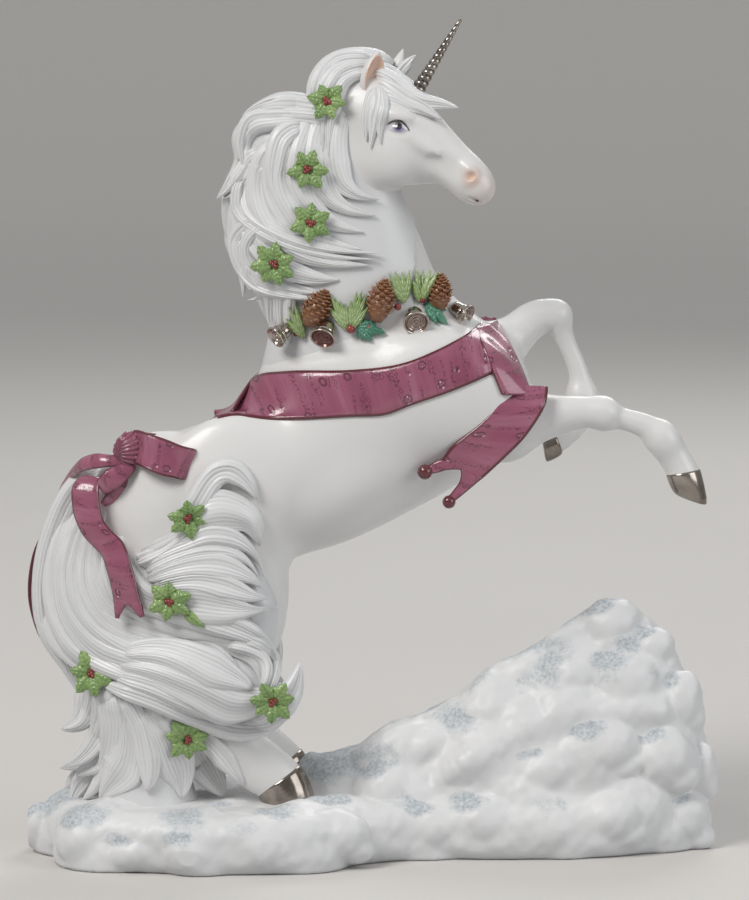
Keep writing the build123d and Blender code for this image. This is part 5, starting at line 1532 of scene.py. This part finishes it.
# A bell's profile: the outside down to the lip, then the rings and boss inside the mouth
BELL = (
    (0.02, 0.0), (0.35, 0.02), (0.9, -0.12), (1.5, -0.45), (1.95, -1.0), (2.15, -1.8), (2.25, -2.7),
    (2.3, -3.4), (2.34, -3.5), (2.52, -3.62), (2.54, -3.85), (2.42, -4.0), (2.5, -4.3), (2.75, -4.8),
    (3.05, -5.25), (3.2, -5.45), (3.22, -5.6), (3.1, -5.72), (2.9, -5.68), (2.75, -5.5), (2.6, -5.1),
    (2.35, -4.7), (2.1, -4.65), (1.98, -4.8), (1.98, -5.0), (1.85, -5.1), (1.68, -5.08), (1.6, -4.9),
    (1.55, -4.7), (1.2, -4.66), (1.1, -4.8), (1.02, -5.0), (0.85, -5.05), (0.7, -4.95), (0.62, -4.75),
    (0.45, -4.75), (0.38, -5.0), (0.25, -5.25), (0.1, -5.32), (0.02, -5.34),
)
MOUTH = 19  # the first row inside the mouth
bells = Heap()
# The last number of each row is how far that bell is darkened, with less metal, inside its mouth
for px, py, axis, size, mouth_darkening in (
    (290, 326, (-0.72, -0.50, -0.52), 0.92, 0.2), (329, 323, (-0.28, -0.72, -0.63), 1.0, 1.0),
    (413, 311, (0.12, -0.80, -0.42), 1.02, 0.35), (451, 306, (0.72, -0.45, -0.42), 0.92, 0.2),
):
    point, _, _, out = seat(px, py, 0.6)
    turned(bells, np.array(BELL) * size, point + out * 0.1, -unit(axis), 40,
           mouth_darkening * (np.arange(len(BELL)) >= MOUTH))
bells.make("bells", bell_metal, "platinum_lustre", ("collar_bells",))


SCALES, GOLDEN_ANGLE = 78, 2.39996


def pine_cone(heap, tip, stalk, width):
    """An egg of overlapping scales, laid in spirals about its core."""
    axis = tip - stalk
    length = np.linalg.norm(axis)
    axis = axis / length
    u = unit(np.cross(axis, [0.2, 1.0, 0.1]))
    v = np.cross(axis, u)

    def radius(t):
        return width / 2 * math.sin(math.pi * (0.10 + 0.88 * t) ** 0.85)

    profile = [(radius(t) * 0.86 + 0.02, length * t) for t in np.linspace(0, 1, 24)]
    # The core under the scales is dark through its tone: painted shade
    turned(heap, profile, stalk, axis, 28, np.full(24, 0.75))
    f, g = [a.ravel() for a in np.meshgrid(np.linspace(-1, 1, 9), np.linspace(0, 1, 7), indexing="ij")]
    # Each scale is dark at its root and sides, where others overlap it: painted shade
    tone = np.clip(0.75 - 1.0 * g + 0.25 * np.abs(f), 0, 1)
    blunt = (0.55 + 0.75 * g) * np.sqrt(np.clip(1.06 - np.clip(g - 0.45, 0, 1) ** 2 * 2.9, 0.05, 1))
    for k in range(SCALES):
        t, a = 0.05 + 0.90 * (k + 0.5) / SCALES, k * GOLDEN_ANGLE
        out = u * math.cos(a) + v * math.sin(a)
        side = np.cross(axis, out)
        lean = unit(out * 0.55 + axis * 0.85)
        size = 1.15 * (0.55 + 0.6 * math.sin(math.pi * t))
        crown = 0.34 * size * np.clip(1 - f**2, 0, 1) * (0.35 + g)
        base = stalk + axis * length * t + out * (radius(t) * 0.92 - 0.35)
        top = base + side * (f * size * 0.62 * blunt)[:, None] + lean * (g * size)[:, None]
        top = top + out * crown[:, None]
        heap.add(np.concatenate([top, top - out * 0.32]), slab_faces(9, 7), np.concatenate([tone, tone]))


cones = Heap()
for stalk_px, tip_px, width in (
    ((309, 326), (328, 290), 6.6), ((376, 322), (385, 279), 6.4), ((437, 313), (441, 273), 5.6),
):
    a, _, _, out_a = seat(*stalk_px, 0.5)
    b, _, _, out_b = seat(*tip_px, 0.5)
    if stalk_px[0] > 430:
        a, b = place(*stalk_px, a[1] + 1.0), place(*tip_px, a[1] + 1.5)
    pine_cone(cones, b + out_b * 1.6, a + out_a * 1.9, width)
cones.make("pine_cones", cone_brown, "cone_brown", ("collar_pine_cones",))

needles = Heap()
for start, ends, width in (
    ((305, 338), ((289, 306), (294, 303), (299, 305), (288, 318)), 1.5),
    ((347, 330), ((331, 294), (336, 298), (341, 300), (346, 303), (329, 306)), 1.5),
    ((352, 329), ((357, 291), (362, 290), (367, 294), (351, 300), (369, 306)), 1.6),
    ((404, 303), ((388, 274), (394, 271), (401, 272), (408, 271), (386, 284)), 1.8),
    ((420, 303), ((414, 270), (421, 271), (428, 271), (434, 272), (411, 280)), 1.8),
):
    base, _, _, out0 = seat(*start, 0.5)
    for k, end in enumerate(ends):
        tip, _, _, out = seat(*end, 0.5)
        if end[0] > 424:
            tip = place(*end, base[1] + 0.5)
        blade(needles, base + out0 * (0.5 + 0.15 * k), tip + out * 1.3, out, width * 1.25, arch=0.35,
              thick=0.9)
needles.make("pine_sprigs", pine_green, "pine_pale_green", ("collar_pine_sprigs",))

holly = Heap()
for start, end, width in (
    ((358, 328), (372, 341), 2.9), ((358, 327), (386, 333), 3.3), ((356, 327), (377, 322), 2.6),
    ((360, 330), (362, 340), 2.2), ((425, 306), (447, 325), 3.2), ((424, 306), (446, 311), 2.6),
    ((426, 307), (436, 325), 2.4),
):
    a, _, _, out0 = seat(*start, 0.4)
    b, lift = seat(*end, 0.4)[0], out0 * 0.8
    blade(holly, a + lift, b + lift, out0, width, lobes=3, thick=0.6)
holly.make("holly_leaves", holly_green, "leaf_green", ("collar_holly_leaves",))
reds = Heap()
for px, py, r in ((351, 329, 1.05), (397, 307, 0.9), (421, 301, 0.7), (369, 327, 0.6), (297, 334, 0.6)):
    point, _, _, out = seat(px, py, 0.6)
    balls(reds, [point + out * (r + 0.9)], r)
reds.make("garland_berries", berry_red, "berry_red", ("collar_berries",))
